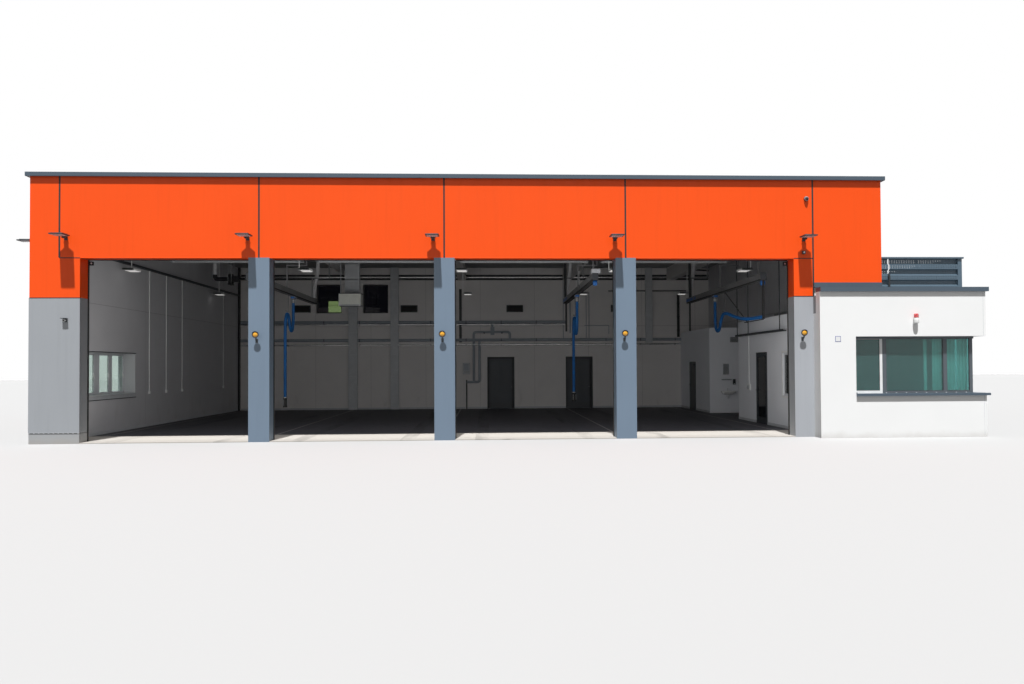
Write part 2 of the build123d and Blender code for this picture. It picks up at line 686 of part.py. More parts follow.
def roof_screen():
    """A folded sheet on posts along the front and the side of the annex roof, with a cap on top."""
    y0 = FRONT + SCREEN_SET_BACK
    x1 = ANNEX_RIGHT - SCREEN_SIDE
    top = SCREEN_TOP - SCREEN_CAP
    section = folded_sheet(COPING_TOP, top)
    along_x = make_face(Polyline(*[(-out, z) for out, z in section], close=True))
    along_y = make_face(Polyline(*section, close=True))
    front = extrude(Plane.YZ.offset(RIGHT) * Pos(y0 + SCREEN_RIB_D, 0) * along_x, x1 - RIGHT)
    side = extrude(Plane.XZ.offset(-y0) * Pos(x1 - SCREEN_RIB_D, 0) * along_y, -(ROOM_BACK - y0))
    mitre = Plane.XY.offset(COPING_TOP - 1)
    mitre_x = x1 - MITRE_REACH
    mitre_y = y0 + MITRE_REACH
    near = mitre * make_face(Polyline((RIGHT - 1, y0 - 1), (x1 + 1, y0 - 1), (mitre_x, mitre_y),
                                      (RIGHT - 1, mitre_y), close=True))
    far = mitre * make_face(Polyline((x1 + 1, y0 - 1), (x1 + 1, ROOM_BACK + 1), (mitre_x, ROOM_BACK + 1),
                                     (mitre_x, mitre_y), close=True))
    wall = (front & extrude(near, SCREEN_TOP)) + (side & extrude(far, SCREEN_TOP))
    inner = SCREEN_RIB_D + SCREEN_T
    out = SCREEN_CAP_OUT
    wall += block(RIGHT, x1 + out, y0 - out, y0 + inner + SCREEN_POST, top, SCREEN_TOP)
    wall += block(x1 - inner - SCREEN_POST, x1 + out, y0 - out, ROOM_BACK, top, SCREEN_TOP)
    run = x1 - inner - SCREEN_POST - RIGHT - SCREEN_POST
    for i in range(SCREEN_POSTS_FRONT):
        x = RIGHT + SCREEN_POST + i * run / (SCREEN_POSTS_FRONT - 1)
        foot = COPING_TOP if x > SIDE_IN else ANNEX_ROOF_TOP
        wall += block(x, x + SCREEN_POST, y0 + inner, y0 + inner + SCREEN_POST, foot, top)
        wall += block(x, x + SCREEN_POST, y0 + SCREEN_RIB_D - 1, y0 + inner + 1, foot, top)
    run = ROOM_BACK - y0 - inner - SCREEN_POST
    for i in range(1, SCREEN_POSTS_SIDE):
        y = y0 + inner + i * run / (SCREEN_POSTS_SIDE - 1)
        wall += block(x1 - inner - SCREEN_POST, x1 - SCREEN_RIB_D + 1, y, y + SCREEN_POST, COPING_TOP, top)
    save("roof_screen", wall)


def rooms():
    """The light partitions of the two rooms on the right of the hall."""
    x1 = ROOM_X + PARTITION_T
    a = FRONT + ROOM_DOOR_START
    b = a + ROOM_DOOR_W
    front = block(ROOM_X, x1, HALL_FRONT, a, FLOOR_T, ROOM_CEILING)
    front -= block(ROOM_X - 1, x1 + 1, FRONT + ROOM_WINDOW_START, FRONT + ROOM_WINDOW_END,
                   ROOM_WINDOW_SILL, ROOM_WINDOW_HEAD)
    save("partition_front", front)
    rear = block(ROOM_X, x1, b, ROOM_BACK, FLOOR_T, ROOM_CEILING)
    end = block(x1, RIGHT_IN, ROOM_BACK - PARTITION_T, ROOM_BACK, FLOOR_T, ROOM_CEILING)
    save("partition_rear", rear + end)
    save("partition_head", block(ROOM_X, x1, a, b, FLOOR_T + ROOM_DOOR_H, ROOM_CEILING))

    rear = FRONT + REAR_ROOM_START
    near_slab = block(ROOM_X, RIGHT_IN, HALL_FRONT, ROOM_BACK, ROOM_CEILING, ROOM_TOP)
    rear_slab = block(ROOM_X, RIGHT_IN, rear, BACK, ROOM_CEILING, ROOM_TOP)
    save("room_ceilings", near_slab, rear_slab)
    save("rear_room_front_wall", block(x1, RIGHT_IN, rear, rear + PARTITION_T, FLOOR_T, ROOM_CEILING))
    side = block(ROOM_X, x1, rear, BACK, FLOOR_T, ROOM_CEILING)
    door = FRONT + REAR_DOOR_START
    side -= block(ROOM_X - 1, x1 + 1, door, door + ROOM_DOOR_W, FLOOR_T - 1, FLOOR_T + REAR_DOOR_H)
    save("rear_room_side_wall", side)


def leaf(width, height, glazed):
    """A door leaf with its hinges and handles. The hinge axis is the local origin, the leaf runs
    along +X and opens towards +Y."""
    gap = DOOR_GAP / 2
    y1 = -HINGE_R - HINGE_SEAT
    y0 = y1 - DOOR_T
    door = block(gap, gap + width, y0, y1, DOOR_GAP, DOOR_GAP + height)
    if glazed:
        door -= block(gap + STILE_W, gap + width - STILE_W, y0 - 1, y1 + 1, DOOR_GAP + STILE_W * 2,
                      DOOR_GAP + height - STILE_W)
    for z in (HINGE_LOW, height - HINGE_LOW):
        door += block(gap, gap + HINGE_PLATE, y1, 0, z, z + HINGE_H)
        door += Pos(0, 0, z + HINGE_H / 2) * Cylinder(HINGE_R, HINGE_H)
    solids = [door]
    x = gap + width - HANDLE_IN
    for face, side in ((y1, 1), (y0, -1)):
        near = face + side * HANDLE_SEAT
        plate = spread(x - HANDLE_PLATE_W / 2, x + HANDLE_PLATE_W / 2, near, near + side * HANDLE_PLATE_T,
                       HANDLE_Z - HANDLE_PLATE_DOWN, HANDLE_Z + HANDLE_PLATE_UP)
        end = near + side * HANDLE_NECK
        neck = spread(x - HANDLE_T / 2, x + HANDLE_T / 2, near, end,
                      HANDLE_Z - HANDLE_T / 2, HANDLE_Z + HANDLE_T / 2)
        lever = spread(x - HANDLE_L, x + HANDLE_T / 2, end, end + side * HANDLE_T,
                       HANDLE_Z - HANDLE_T / 2, HANDLE_Z + HANDLE_T / 2)
        solids.append(plate + neck + lever)
    return solids


def door_glass(width, height):
    """The pane of a glazed leaf, in the leaf's own frame."""
    y = -HINGE_R - HINGE_SEAT - DOOR_T / 2
    gap = DOOR_GAP / 2
    return block(gap + STILE_W, gap + width - STILE_W, y - GLASS_T / 2, y + GLASS_T / 2,
                 DOOR_GAP + STILE_W * 2, DOOR_GAP + height - STILE_W)


def doors():
    """The four hinged doors and their fixed frames."""
    frames = []
    leaf_w = ROOM_DOOR_W - 2 * DOOR_FRAME - 2 * DOOR_GAP
    face = HINGE_R + HINGE_SEAT
    turn = Rot(0, 0, 90)
    for name, start, height, glazed in (
        ("partition_door", ROOM_DOOR_START, ROOM_DOOR_H, True),
        ("rear_room_door", REAR_DOOR_START, REAR_DOOR_H, False),
    ):
        a = FRONT + start
        b = a + ROOM_DOOR_W
        x0 = ROOM_X - FRAME_OUT
        x1 = ROOM_X + PARTITION_T
        casing = block(x0, x1, a, b, FLOOR_T, FLOOR_T + height)
        casing -= block(x0 - 1, x1 + 1, a + DOOR_FRAME, b - DOOR_FRAME, 0, FLOOR_T + height - DOOR_FRAME)
        frames.append(casing)
        place = Pos(ROOM_X - FRAME_OUT - face, a + DOOR_FRAME + DOOR_GAP / 2, FLOOR_T) * turn
        leaf_h = height - DOOR_FRAME - 2 * DOOR_GAP
        save(name, *[place * s for s in leaf(leaf_w, leaf_h, glazed)])
        if glazed:
            save(name + "_glass", place * door_glass(leaf_w, leaf_h))
    leaf_w = BACK_DOOR_W - 2 * DOOR_FRAME - 2 * DOOR_GAP
    for name, x in zip(("back_door_left", "back_door_right"), BACK_DOOR_X):
        a = x - BACK_DOOR_W / 2
        b = a + BACK_DOOR_W
        casing = block(a, b, BACK_OUT - BACK_FRAME_D, BACK_OUT + FRAME_OUT, 0, BACK_DOOR_H)
        casing -= block(a + DOOR_FRAME, b - DOOR_FRAME, BACK, BACK_OUT + 100, -1, BACK_DOOR_H - DOOR_FRAME)
        frames.append(casing)
        place = Pos(a + DOOR_FRAME + DOOR_GAP / 2, BACK_OUT + FRAME_OUT + face, 0)
        leaf_h = BACK_DOOR_H - DOOR_FRAME - 2 * DOOR_GAP
        save(name, *[place * s for s in leaf(leaf_w, leaf_h, False)])
    save("door_frames", *frames)


def track(x0):
    """One door track: up the wall, round the bend and back under the roof, with its hangers."""
    turn_y = HALL_FRONT + TRACK_BEND
    turn_z = TRACK_Z + TRACK_D - TRACK_BEND
    bend = []
    for radius, turns in ((TRACK_BEND, BEND_TURNS), (TRACK_BEND - TRACK_D, BEND_TURNS[::-1])):
        bend += [(turn_y - radius * c, turn_z + radius * s) for c, s in turns]
    x1 = x0 + TRACK_W
    shape = extrude(Plane.YZ.offset(x0) * make_face(Polyline(*bend, close=True)), TRACK_W)
    shape += block(x0, x1, HALL_FRONT, HALL_FRONT + TRACK_D, FLOOR_T, turn_z)
    shape += block(x0, x1, turn_y, HALL_FRONT + TRACK_END, TRACK_Z, TRACK_Z + TRACK_D)
    for y in TRACK_HANGERS:
        hanger = HALL_FRONT + y
        shape += block(x0, x1, hanger, hanger + TRACK_HANGER_T, TRACK_Z + TRACK_D, CEILING)
    return shape


def sectional_doors():
    """The raised bay doors under the roof, their tracks and the bar that joins each pair at the rear."""
    leaves = []
    tracks = []
    start = HALL_FRONT + LEAF_START
    step = LEAF_L / LEAF_PANELS
    for a, b in BAY_EDGES:
        left = a - LEAF_LAP
        right = b + LEAF_LAP
        for i in range(LEAF_PANELS):
            y = start + i * step
            leaves.append(block(left, right, y, y + step - LEAF_JOINT, TRACK_Z, TRACK_Z + LEAF_T))
        tracks.append(track(left - TRACK_CLEAR - TRACK_W))
        tracks.append(track(right + TRACK_CLEAR))
        rear = HALL_FRONT + TRACK_END
        tracks.append(block(left - TRACK_CLEAR - TRACK_W, right + TRACK_CLEAR + TRACK_W,
                            rear, rear + CROSS_BAR_D, TRACK_Z + TRACK_D - CROSS_BAR_H, TRACK_Z + TRACK_D))
    save("sectional_doors", *leaves)
    save("door_tracks", *tracks)


def floodlight(place):
    """A flat lamp head on a knuckle. Its bracket stands on the local XZ plane and it reaches out along -Y."""
    foot_w, foot_h = FLOOD_FOOT
    foot = block(-foot_w / 2, foot_w / 2, -FLOOD_FOOT_T, 0, -foot_h / 2, foot_h / 2)
    half = FLOOD_T / 2
    arm = block(-half, half, -FLOOD_ARM / 2, -FLOOD_FOOT_T, -half, half)
    neck = FLOOD_NECK_W / 2
    knuckle = drum(FLOOD_KNUCKLE_R, -neck * 0.8, neck * 0.8, sides=12)
    knuckle = Pos(0, -FLOOD_ARM / 2, 0) * Rot(0, 90, 0) * knuckle
    side = FLOOD_W / 2
    shoulder = -FLOOD_ARM - FLOOD_SHOULDER
    end = -FLOOD_ARM / 2 - FLOOD_L
    outline = Polyline(
        (-neck, -FLOOD_ARM / 2), (neck, -FLOOD_ARM / 2), (neck, -FLOOD_ARM), (side, shoulder),
        (side, end), (-side, end), (-side, shoulder), (-neck, -FLOOD_ARM), close=True,
    )
    head = extrude(make_face(outline), FLOOD_T)
    return place * (foot + arm + knuckle + head)


def beacon(x):
    """A round warning lamp that faces the yard, under a hood and on a slim bracket."""
    place = Pos(x, FRONT, BEACON_Z)
    front = BEACON_OUT + BEACON_D
    lamp = drum(BEACON_R, BEACON_OUT, front) + drum(BEACON_R, front, front + BEACON_NOSE, BEACON_R * 0.8)
    reach = BEACON_R + BEACON_HOOD_T
    outer = [(reach * c, reach * s) for c, s in HOOD_TURNS]
    inner = [((BEACON_R - 1) * c, (BEACON_R - 1) * s) for c, s in reversed(HOOD_TURNS)]
    hood = extrude(Plane.XZ.offset(BEACON_OUT) * make_face(Polyline(*outer, *inner, close=True)),
                   BEACON_D + BEACON_HOOD_OUT)
    half = BEACON_ARM_W / 2
    foot = -BEACON_R - BEACON_ARM_DOWN
    reach = -BEACON_OUT - BEACON_D / 2
    neck = block(-half, half, reach, reach + BEACON_ARM_W, foot, -BEACON_R + BEACON_HOOD_T)
    arm = block(-half, half, reach, -BEACON_HOOD_T, foot - BEACON_ARM_W, foot)
    plate = block(-BEACON_ARM_W, BEACON_ARM_W, -BEACON_HOOD_T, 0,
                  foot - 2 * BEACON_ARM_W, foot + BEACON_ARM_W)
    return place * (ahead(0, 0, 0) * lamp + hood + neck + arm + plate)


def outside_fittings():
    """Floodlights, warning beacons, the alarm lamp and small fittings on the facade."""
    flood_x = [PIER_RIGHT - PIER_FLOOD_IN] + [line + FLOOD_SHIFT for line in PILLAR_LINES]
    flood_x.append(2 * BAY + END_FLOOD_SHIFT)
    lamps = [floodlight(Pos(x, FRONT, FLOOD_Z)) for x in flood_x]
    lamps.append(floodlight(Pos(LEFT, FRONT + SIDE_FLOOD_Y, FLOOD_Z) * Rot(0, 0, -90)))
    save("floodlights", *lamps)

    save("warning_beacons", *[beacon(line + BEACON_SHIFT) for line in GIRDER_LINES])

    x = PIER_RIGHT - PIER_CAMERA_IN
    w, d, h = PIER_CAMERA_SIZE
    camera = block(x - w / 2, x + w / 2, FRONT - d, FRONT, PIER_CAMERA_Z, PIER_CAMERA_Z + h)
    dome = drum(DOME_R, 0, DOME_R) + drum(DOME_R, DOME_R, DOME_R * 1.8, DOME_R * 0.6)
    dome = ahead(2 * BAY + DOME_CAMERA_SHIFT, FRONT, DOME_CAMERA_Z) * dome
    x = 2 * BAY
    w, d, h = SENSOR_SIZE
    sensor = block(x - w / 2, x + w / 2, FRONT - d, FRONT, SENSOR_Z - h / 2, SENSOR_Z + h / 2)
    save("wall_fittings", camera, dome, sensor)

    base = ALARM_BASE_H
    top = base + ALARM_CAP_H
    middle = ANNEX_FRONT - ALARM_R - ALARM_OUT
    lamp = drum(ALARM_R, 0, base) + drum(ALARM_R - ALARM_RIM, base, top)
    lamp = Pos(ALARM_X, middle, ALARM_Z) * lamp
    bracket = ALARM_R / 2
    lamp += block(ALARM_X - bracket, ALARM_X + bracket, middle, ANNEX_FRONT,
                  ALARM_Z + bracket, ALARM_Z + ALARM_R)
    save("alarm_lamp", lamp)


def hose(name, x, route):
    """A hanging hose of six-sided section along its route, with each bend as wide as its runs allow."""
    points = [Vector(x, FRONT + y, z) for y, z in route]
    radii = []
    for before, corner, after in zip(points, points[1:], points[2:]):
        into = corner - before
        out = after - corner
        radii.append(0.45 * min(into.length, out.length) / math.tan(math.radians(into.get_angle(out) / 2)))
    path = FilletPolyline(*points, radius=radii)
    section = Plane(points[0], z_dir=path % 0) * RegularPolygon(HOSE_R, HOSE_SIDES)
    print(name, "length", round(path.length), "radii", [round(r) for r in radii])
    save(name, sweep(section, path=path))


def exhaust_rails():
    """The exhaust rails with trolleys and clamps, the hoses that hang from them and their nozzles."""
    rails = []
    routes = [LEFT_HOSE, MIDDLE_HOSE, RIGHT_HOSE]
    for x, line, route in zip(RAIL_X, RAIL_LINES, routes):
        side = RAIL_W / 2
        slot = RAIL_SLOT_W / 2
        end = HALL_FRONT + RAIL_END
        rail = block(x - side, x + side, HALL_FRONT + RAIL_START, end, RAIL_Z, RAIL_Z + RAIL_H)
        rail -= block(x - slot, x + slot, HALL_FRONT, end + 1, RAIL_Z - 1, RAIL_Z + RAIL_SLOT_D)
        bar = RAIL_HANGER_W / 2
        low = min(x, line) - bar
        high = max(x, line) + bar
        for y in RAIL_HANGERS:
            y0 = HALL_FRONT + y
            y1 = y0 + RAIL_HANGER_W
            rail += block(x - bar, x + bar, y0, y1, RAIL_Z + RAIL_H, RAIL_ARM_Z)
            rail += block(low, high, y0, y1, RAIL_ARM_Z, RAIL_ARM_Z + RAIL_HANGER_W)
            rail += block(line - bar, line + bar, y0, y1, RAIL_ARM_Z + RAIL_HANGER_W, CEILING - GIRDER_DROP)
        y = FRONT + route[0][0]
        rail += block(x - side + TROLLEY_IN, x + side - TROLLEY_IN, y - TROLLEY_L / 2, y + TROLLEY_L / 2,
                      RAIL_Z - TROLLEY_H, RAIL_Z)
        clamp_h = RAIL_Z - TROLLEY_H - HOSE_TOP
        rail += Pos(x, y, HOSE_TOP) * drum(CLAMP_R, 0, clamp_h, sides=12)
        y, z = max(route[2:], key=lambda point: point[1])
        y += FRONT
        z += HOSE_R
        rail += block(x - SADDLE_W / 2, x + SADDLE_W / 2, y - SADDLE_L / 2, y + SADDLE_L / 2, z, z + SADDLE_H)
        wire = SADDLE_ROD / 2
        rail += block(x + slot, x + slot + SADDLE_ROD, y - wire, y + wire, z + SADDLE_H, RAIL_Z)
        rails.append(rail)
    x = RAIL_X[-1]
    y, z = RIGHT_HOSE[-1]
    pole = block(x - POLE_W / 2, x + POLE_W / 2, FRONT + y - POLE_W, FRONT + y, z - POLE_W, RAIL_Z)
    rails[-1] += pole
    save("exhaust_rails", *rails)

    hose("left_exhaust_hose", RAIL_X[0], LEFT_HOSE)
    hose("middle_exhaust_hose", RAIL_X[1], MIDDLE_HOSE)
    hose("right_exhaust_hose", RAIL_X[2], RIGHT_HOSE)
    for name, x, route in (("left", RAIL_X[0], LEFT_HOSE), ("middle", RAIL_X[1], MIDDLE_HOSE)):
        y, z = route[-1]
        save(name + "_hose_nozzle", Pos(x, FRONT + y, z) * drum(NOZZLE_R, -NOZZLE_L, 0, CLAMP_R))


def wall_ducts():
    """The grey ducts on the back wall, cut round the girders."""
    ducts = []
    side = GIRDER_W / 2
    for x, width, foot in WALL_DUCTS:
        duct = block(x, x + width, BACK - WALL_DUCT_D, BACK, foot, CEILING)
        for line in GIRDER_LINES:
            duct -= block(line - side, line + side, BACK - WALL_DUCT_D, BACK, CEILING - GIRDER_DROP, CEILING)
        ducts.append(duct)
    return ducts


def heater_and_lamps():
    """The hanging heater with its frame and air duct, and the lamps on their rods."""
    x = -BAY + HEATER_SHIFT
    w, d, h = HEATER_SIZE
    y = HEATER_Y
    z = HEATER_Z
    heater = block(x - w / 2, x + w / 2, y, y + d, z, z + h)
    heater += block(x - w / 2 + HEATER_IN, x + w / 2 - HEATER_IN, y - HEATER_LIP, y, z, z + HEATER_LIP)
    rod = HANGER_ROD
    for side in (-1, 1):
        rod_x = x + side * (w / 2 - HEATER_IN)
        heater += block(rod_x - rod / 2, rod_x + rod / 2, y + HEATER_IN, y + HEATER_IN + rod, z + h, CEILING)
    duct_w, duct_d = AIR_DUCT_SIZE
    heater += block(x - duct_w / 2, x + duct_w / 2, y + d, y + d + duct_d, z + HEATER_IN, CEILING)
    save("heater_and_ducts", heater, *wall_ducts())

    lamps = []
    hung = [(LEFT_IN + LAMP_SHIFT, LEFT_IN + LAMP_SHIFT, CEILING)]
    hung += [(line + LAMP_SHIFT, line + LAMP_ROD_SHIFT, CEILING - GIRDER_DROP) for line in GIRDER_LINES[:3]]
    hung.append((2 * BAY - LAMP_SHIFT, 2 * BAY - LAMP_ROD_SHIFT, CEILING - GIRDER_DROP))
    for y in LAMP_Y:
        for x, rod_x, top in hung:
            middle = y + LAMP_L / 2
            y0 = middle - rod / 2
            y1 = middle + rod / 2
            lamp = block(x - LAMP_W / 2, x + LAMP_W / 2, y, y + LAMP_L, LAMP_Z, LAMP_Z + LAMP_H)
            lamp += block(min(x, rod_x) - rod / 2, max(x, rod_x) + rod / 2, y0, y1,
                          LAMP_Z + LAMP_H / 2, LAMP_Z + LAMP_H)
            lamp += block(rod_x - rod / 2, rod_x + rod / 2, y0, y1, LAMP_Z + LAMP_H, top)
            lamps.append(lamp)
    save("ceiling_lights", *lamps)


def wall_runs():
    """Pipes, ducts, conduits and cable rails on the inner walls, and the boxes beside them."""
    inner = LEFT_IN + DOWNPIPE_D
    group = block(LEFT_IN, inner, BACK - DOWNPIPE_D, BACK, FLOOR_T, CEILING)
    for z in PIPE_Z:
        group += block(inner, ROOM_X, BACK - PIPE_D, BACK, z, z + PIPE_D)
    group += block(inner, ROOM_X, BACK - THIN_PIPE_D, BACK, THIN_PIPE_Z, THIN_PIPE_Z + THIN_PIPE_D)
    for x, width, low, high in DROP_PIPES:
        group += block(x, x + width, BACK - PIPE_D, BACK, low, high)
    low, high = MANIFOLD_X
    group += block(low, high, BACK - PIPE_D, BACK, MANIFOLD_Z, MANIFOLD_Z + PIPE_D)
    for x in (low, high - PIPE_D):
        group += block(x, x + PIPE_D, BACK - PIPE_D, BACK, THIN_PIPE_Z, MANIFOLD_Z)
    x = STANDPIPE_X
    group += block(x - STANDPIPE_D / 2, x + STANDPIPE_D / 2, BACK - STANDPIPE_D, BACK, FLOOR_T, STANDPIPE_TOP)
    side = GIRDER_W / 2
    edges = [inner] + [line + step for line in GIRDER_LINES for step in (-side, side)] + [RIGHT_IN]
    high = [block(a, b, BACK - PIPE_D, BACK, HIGH_PIPE_Z, HIGH_PIPE_Z + PIPE_D)
            for a, b in zip(edges[::2], edges[1::2])]
    runs = []
    for pipes in [group] + high:
        for x, width, foot in WALL_DUCTS:
            pipes -= block(x, x + width, BACK - WALL_DUCT_D, BACK, foot, CEILING)
        runs += pipes.solids()

    rail = block(LEFT_IN, LEFT_IN + CABLE_RAIL_W, FRONT + CABLE_RAIL_START, BACK - DOWNPIPE_D,
                 CABLE_RAIL_Z, CABLE_RAIL_Z + CABLE_RAIL_H)
    for y, foot in WALL_CONDUITS:
        start = FRONT + y
        rail += block(LEFT_IN, LEFT_IN + CONDUIT_D, start, start + CONDUIT_D, foot, CABLE_RAIL_Z)
    runs.append(rail)

    face = ROOM_X - TRAY_OUT
    tray = block(face, ROOM_X, FRONT + TRAY_START, ROOM_BACK, TRAY_Z, TRAY_Z + TRAY_H)
    for y in TRAY_CONDUITS:
        start = FRONT + y
        tray += block(face, face + CONDUIT_D, start, start + CONDUIT_D, TRAY_Z + TRAY_H, CEILING)
    start = FRONT + SWITCH_Y
    middle = start + SWITCH_W / 2
    tray += block(ROOM_X - CONDUIT_D, ROOM_X, middle, middle + CONDUIT_D, SWITCH_Z + SWITCH_H, TRAY_Z)
    tray += block(ROOM_X - SWITCH_D, ROOM_X, start, start + SWITCH_W, SWITCH_Z, SWITCH_Z + SWITCH_H)
    runs.append(tray)
    save("wall_pipes", *runs)

    boxes = []
    for a, b in BAY_EDGES:
        x = (a + b) / 2
        boxes.append(block(x - BOX_W / 2, x + BOX_W / 2, BACK - BOX_D, BACK, BOX_Z, BOX_Z + BOX_H))
    x0, x1, z0, z1 = PANEL_BOX
    boxes.append(block(x0, x1, BACK - PANEL_BOX_D, BACK, z0, z1))
    save("signal_boxes", *boxes)


def washbasin():
    """The washbasin with its bowl, tap and waste pipe, and the mirror and shelf over it."""
    wall = FRONT + REAR_ROOM_START
    x = BASIN_X
    side = BASIN_W / 2
    basin = block(x - side, x + side, wall - BASIN_D, wall, BASIN_Z - BASIN_H, BASIN_Z)
    bowl = block(x - side + BASIN_RIM, x + side - BASIN_RIM, wall - BASIN_D + BASIN_RIM, wall - 2 * BASIN_RIM,
                 BASIN_Z - BASIN_H + BASIN_RIM, BASIN_Z + 1)
    basin -= bowl
    tap_y = wall - BASIN_RIM
    half = WASTE_D / 2
    basin += block(x - half, x + half, tap_y - half, tap_y + half, BASIN_Z, BASIN_Z + TAP_H)
    basin += block(x - half / 2, x + half / 2, tap_y - 4 * BASIN_RIM, tap_y,
                   BASIN_Z + TAP_H - half, BASIN_Z + TAP_H)
    middle = wall - BASIN_D / 2
    drop = BASIN_Z - BASIN_H
    basin += block(x - half, x + half, middle - half, middle + half, drop - TAP_H, drop)
    basin += block(x - half, x + half, middle - half, wall, drop - TAP_H - WASTE_D, drop - TAP_H)
    low, high = MIRROR_Z
    left = x - MIRROR_W / 2 - BASIN_RIM
    mirror = block(left, left + MIRROR_W, wall - MIRROR_T, wall, low, high)
    shelf_x = left + MIRROR_W / 2
    shelf = block(shelf_x - SHELF_W / 2, shelf_x + SHELF_W / 2, wall - SHELF_D, wall,
                  SHELF_Z, SHELF_Z + SHELF_T)
    save("washbasin", basin, mirror, shelf)


def main():
    os.makedirs("parts", exist_ok=True)
    floor()
    hall_walls()
    pillars()
    roof()
    orange_cladding()
    grey_cladding()
    plinth()
    windows()
    annex_walls()
    corner_window()
    roof_screen()
    rooms()
    doors()
    sectional_doors()
    outside_fittings()
    exhaust_rails()
    heater_and_lamps()
    wall_runs()
    washbasin()


main()
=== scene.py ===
import math

import bmesh
import bpy
from mathutils import Matrix, Vector


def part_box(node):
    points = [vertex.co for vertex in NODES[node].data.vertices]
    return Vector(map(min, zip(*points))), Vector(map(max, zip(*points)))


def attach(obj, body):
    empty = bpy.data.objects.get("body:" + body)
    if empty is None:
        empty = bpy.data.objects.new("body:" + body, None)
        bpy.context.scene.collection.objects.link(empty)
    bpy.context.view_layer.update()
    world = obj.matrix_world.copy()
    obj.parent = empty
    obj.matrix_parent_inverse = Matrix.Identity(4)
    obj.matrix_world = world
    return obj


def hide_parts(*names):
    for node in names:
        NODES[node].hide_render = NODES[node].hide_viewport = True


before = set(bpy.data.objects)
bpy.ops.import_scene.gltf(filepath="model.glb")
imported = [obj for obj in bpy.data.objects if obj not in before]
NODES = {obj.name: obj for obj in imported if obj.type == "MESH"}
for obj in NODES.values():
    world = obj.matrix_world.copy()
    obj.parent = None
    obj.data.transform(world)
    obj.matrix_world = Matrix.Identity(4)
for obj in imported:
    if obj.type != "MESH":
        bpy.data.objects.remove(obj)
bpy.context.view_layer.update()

bl_info = {
    "name": "Fire station building",
    "version": (1, 0, 0),
    "blender": (4, 5, 0),
    "location": "3D View > Sidebar > Fire station",
    "description": "Finishes and details of a four-bay fire station with a side annex",
    "category": "Object",
}

# Places that many pieces share, read from the frame
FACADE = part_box("bay_pillars")[0].y
HALL_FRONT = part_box("bay_pillars")[1].y
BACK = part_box("back_wall_middle")[0].y
BACK_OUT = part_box("back_wall_left")[1].y + 0.03
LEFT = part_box("orange_cladding")[0].x
LEFT_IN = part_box("left_wall")[1].x
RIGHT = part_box("orange_cladding")[1].x
RIGHT_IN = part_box("right_wall")[0].x
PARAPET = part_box("roof_coping")[0].z
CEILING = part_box("roof_deck")[0].z
ANNEX_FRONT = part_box("annex_front_wall")[0].y
ANNEX_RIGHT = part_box("annex_front_wall")[1].x
ROOM_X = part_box("partition_front")[0].x
SCREEN_FRONT = ANNEX_FRONT + 1.0
SCREEN_RIGHT = ANNEX_RIGHT - 0.11
SHEET_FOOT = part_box("annex_side_wall")[1].z + 0.11
PIER_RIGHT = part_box("pier_plinth")[0].x + 1.225

# Places that have no node of their own
SOFFIT_LINE = 4.64
END_JOINT = 9.556
BAY = 4.65
PILLAR_W = 0.522
LINES = (-BAY, 0.0, BAY)
LAST_EDGE = 2 * BAY - PILLAR_W / 2
BAY_EDGES = ((PIER_RIGHT, -BAY - PILLAR_W / 2), (-BAY + PILLAR_W / 2, -PILLAR_W / 2),
             (PILLAR_W / 2, BAY - PILLAR_W / 2), (BAY + PILLAR_W / 2, LAST_EDGE))
DUCTS = [(-4.96, -4.57), (-3.13, -2.78), (8.15, 8.45)]
BACK_DOORS = ((1.1, 2.3), (4.58, 5.78))
ROOM_LEAF = (9.74, 9.79)
BACK_LEAF = (18.585, 18.635)
LEAF_W = 1.088
LEDGE = (FACADE + 2.2, FACADE + 5.9)
RAIL_SIDE = 0.615
RAIL_Z = 4.21
RAIL = (HALL_FRONT + 1.0, HALL_FRONT + 11.0)
DOOR_SET = HALL_FRONT + 1.0

# Directions
ACROSS, DEEP, UP = (1, 0, 0), (0, 1, 0), (0, 0, 1)
OUT, DOWN, HERE = (0, -1, 0), (0, 0, -1), (0, 0, 0)

# Routes of the exhaust hoses: distance from the facade and height of each point
HOSE_R = 0.05
HOSES = {
    "left_exhaust_hose": [
        (7.575, 3.98), (7.575, 3.66), (7.555, 3.32), (7.455, 3.12), (7.235, 3.04), (7.035, 3.14),
        (6.935, 3.34), (6.815, 3.53), (6.595, 3.6), (6.395, 3.5), (6.295, 3.26), (6.265, 2.85),
        (6.28, 2.15), (6.27, 1.45), (6.27, 0.95),
    ],
    "middle_exhaust_hose": [
        (6.975, 3.98), (6.975, 3.64), (6.995, 3.28), (7.105, 3.02), (7.335, 2.92), (7.545, 3.02),
        (7.655, 3.24), (7.775, 3.44), (7.995, 3.52), (8.195, 3.42), (8.305, 3.18), (8.335, 2.76),
        (8.32, 2.1), (8.33, 1.45), (8.33, 1.0),
    ],
    "right_exhaust_hose": [
        (7.275, 3.98), (7.275, 3.66), (7.255, 3.28), (7.155, 3.06), (6.915, 2.97), (6.675, 3.05),
        (6.515, 3.25), (6.355, 3.43), (6.075, 3.53), (5.575, 3.5), (4.775, 3.36), (3.775, 3.24),
        (2.875, 3.2), (2.125, 3.195), (1.625, 3.195),
    ],
}


# Shader maths


def sign(kind, swapped=False):
    """A method that adds a Math node for an arithmetic sign."""
    def apply(self, other):
        return self.nodes.maths(kind, *((other, self) if swapped else (self, other)))
    return apply


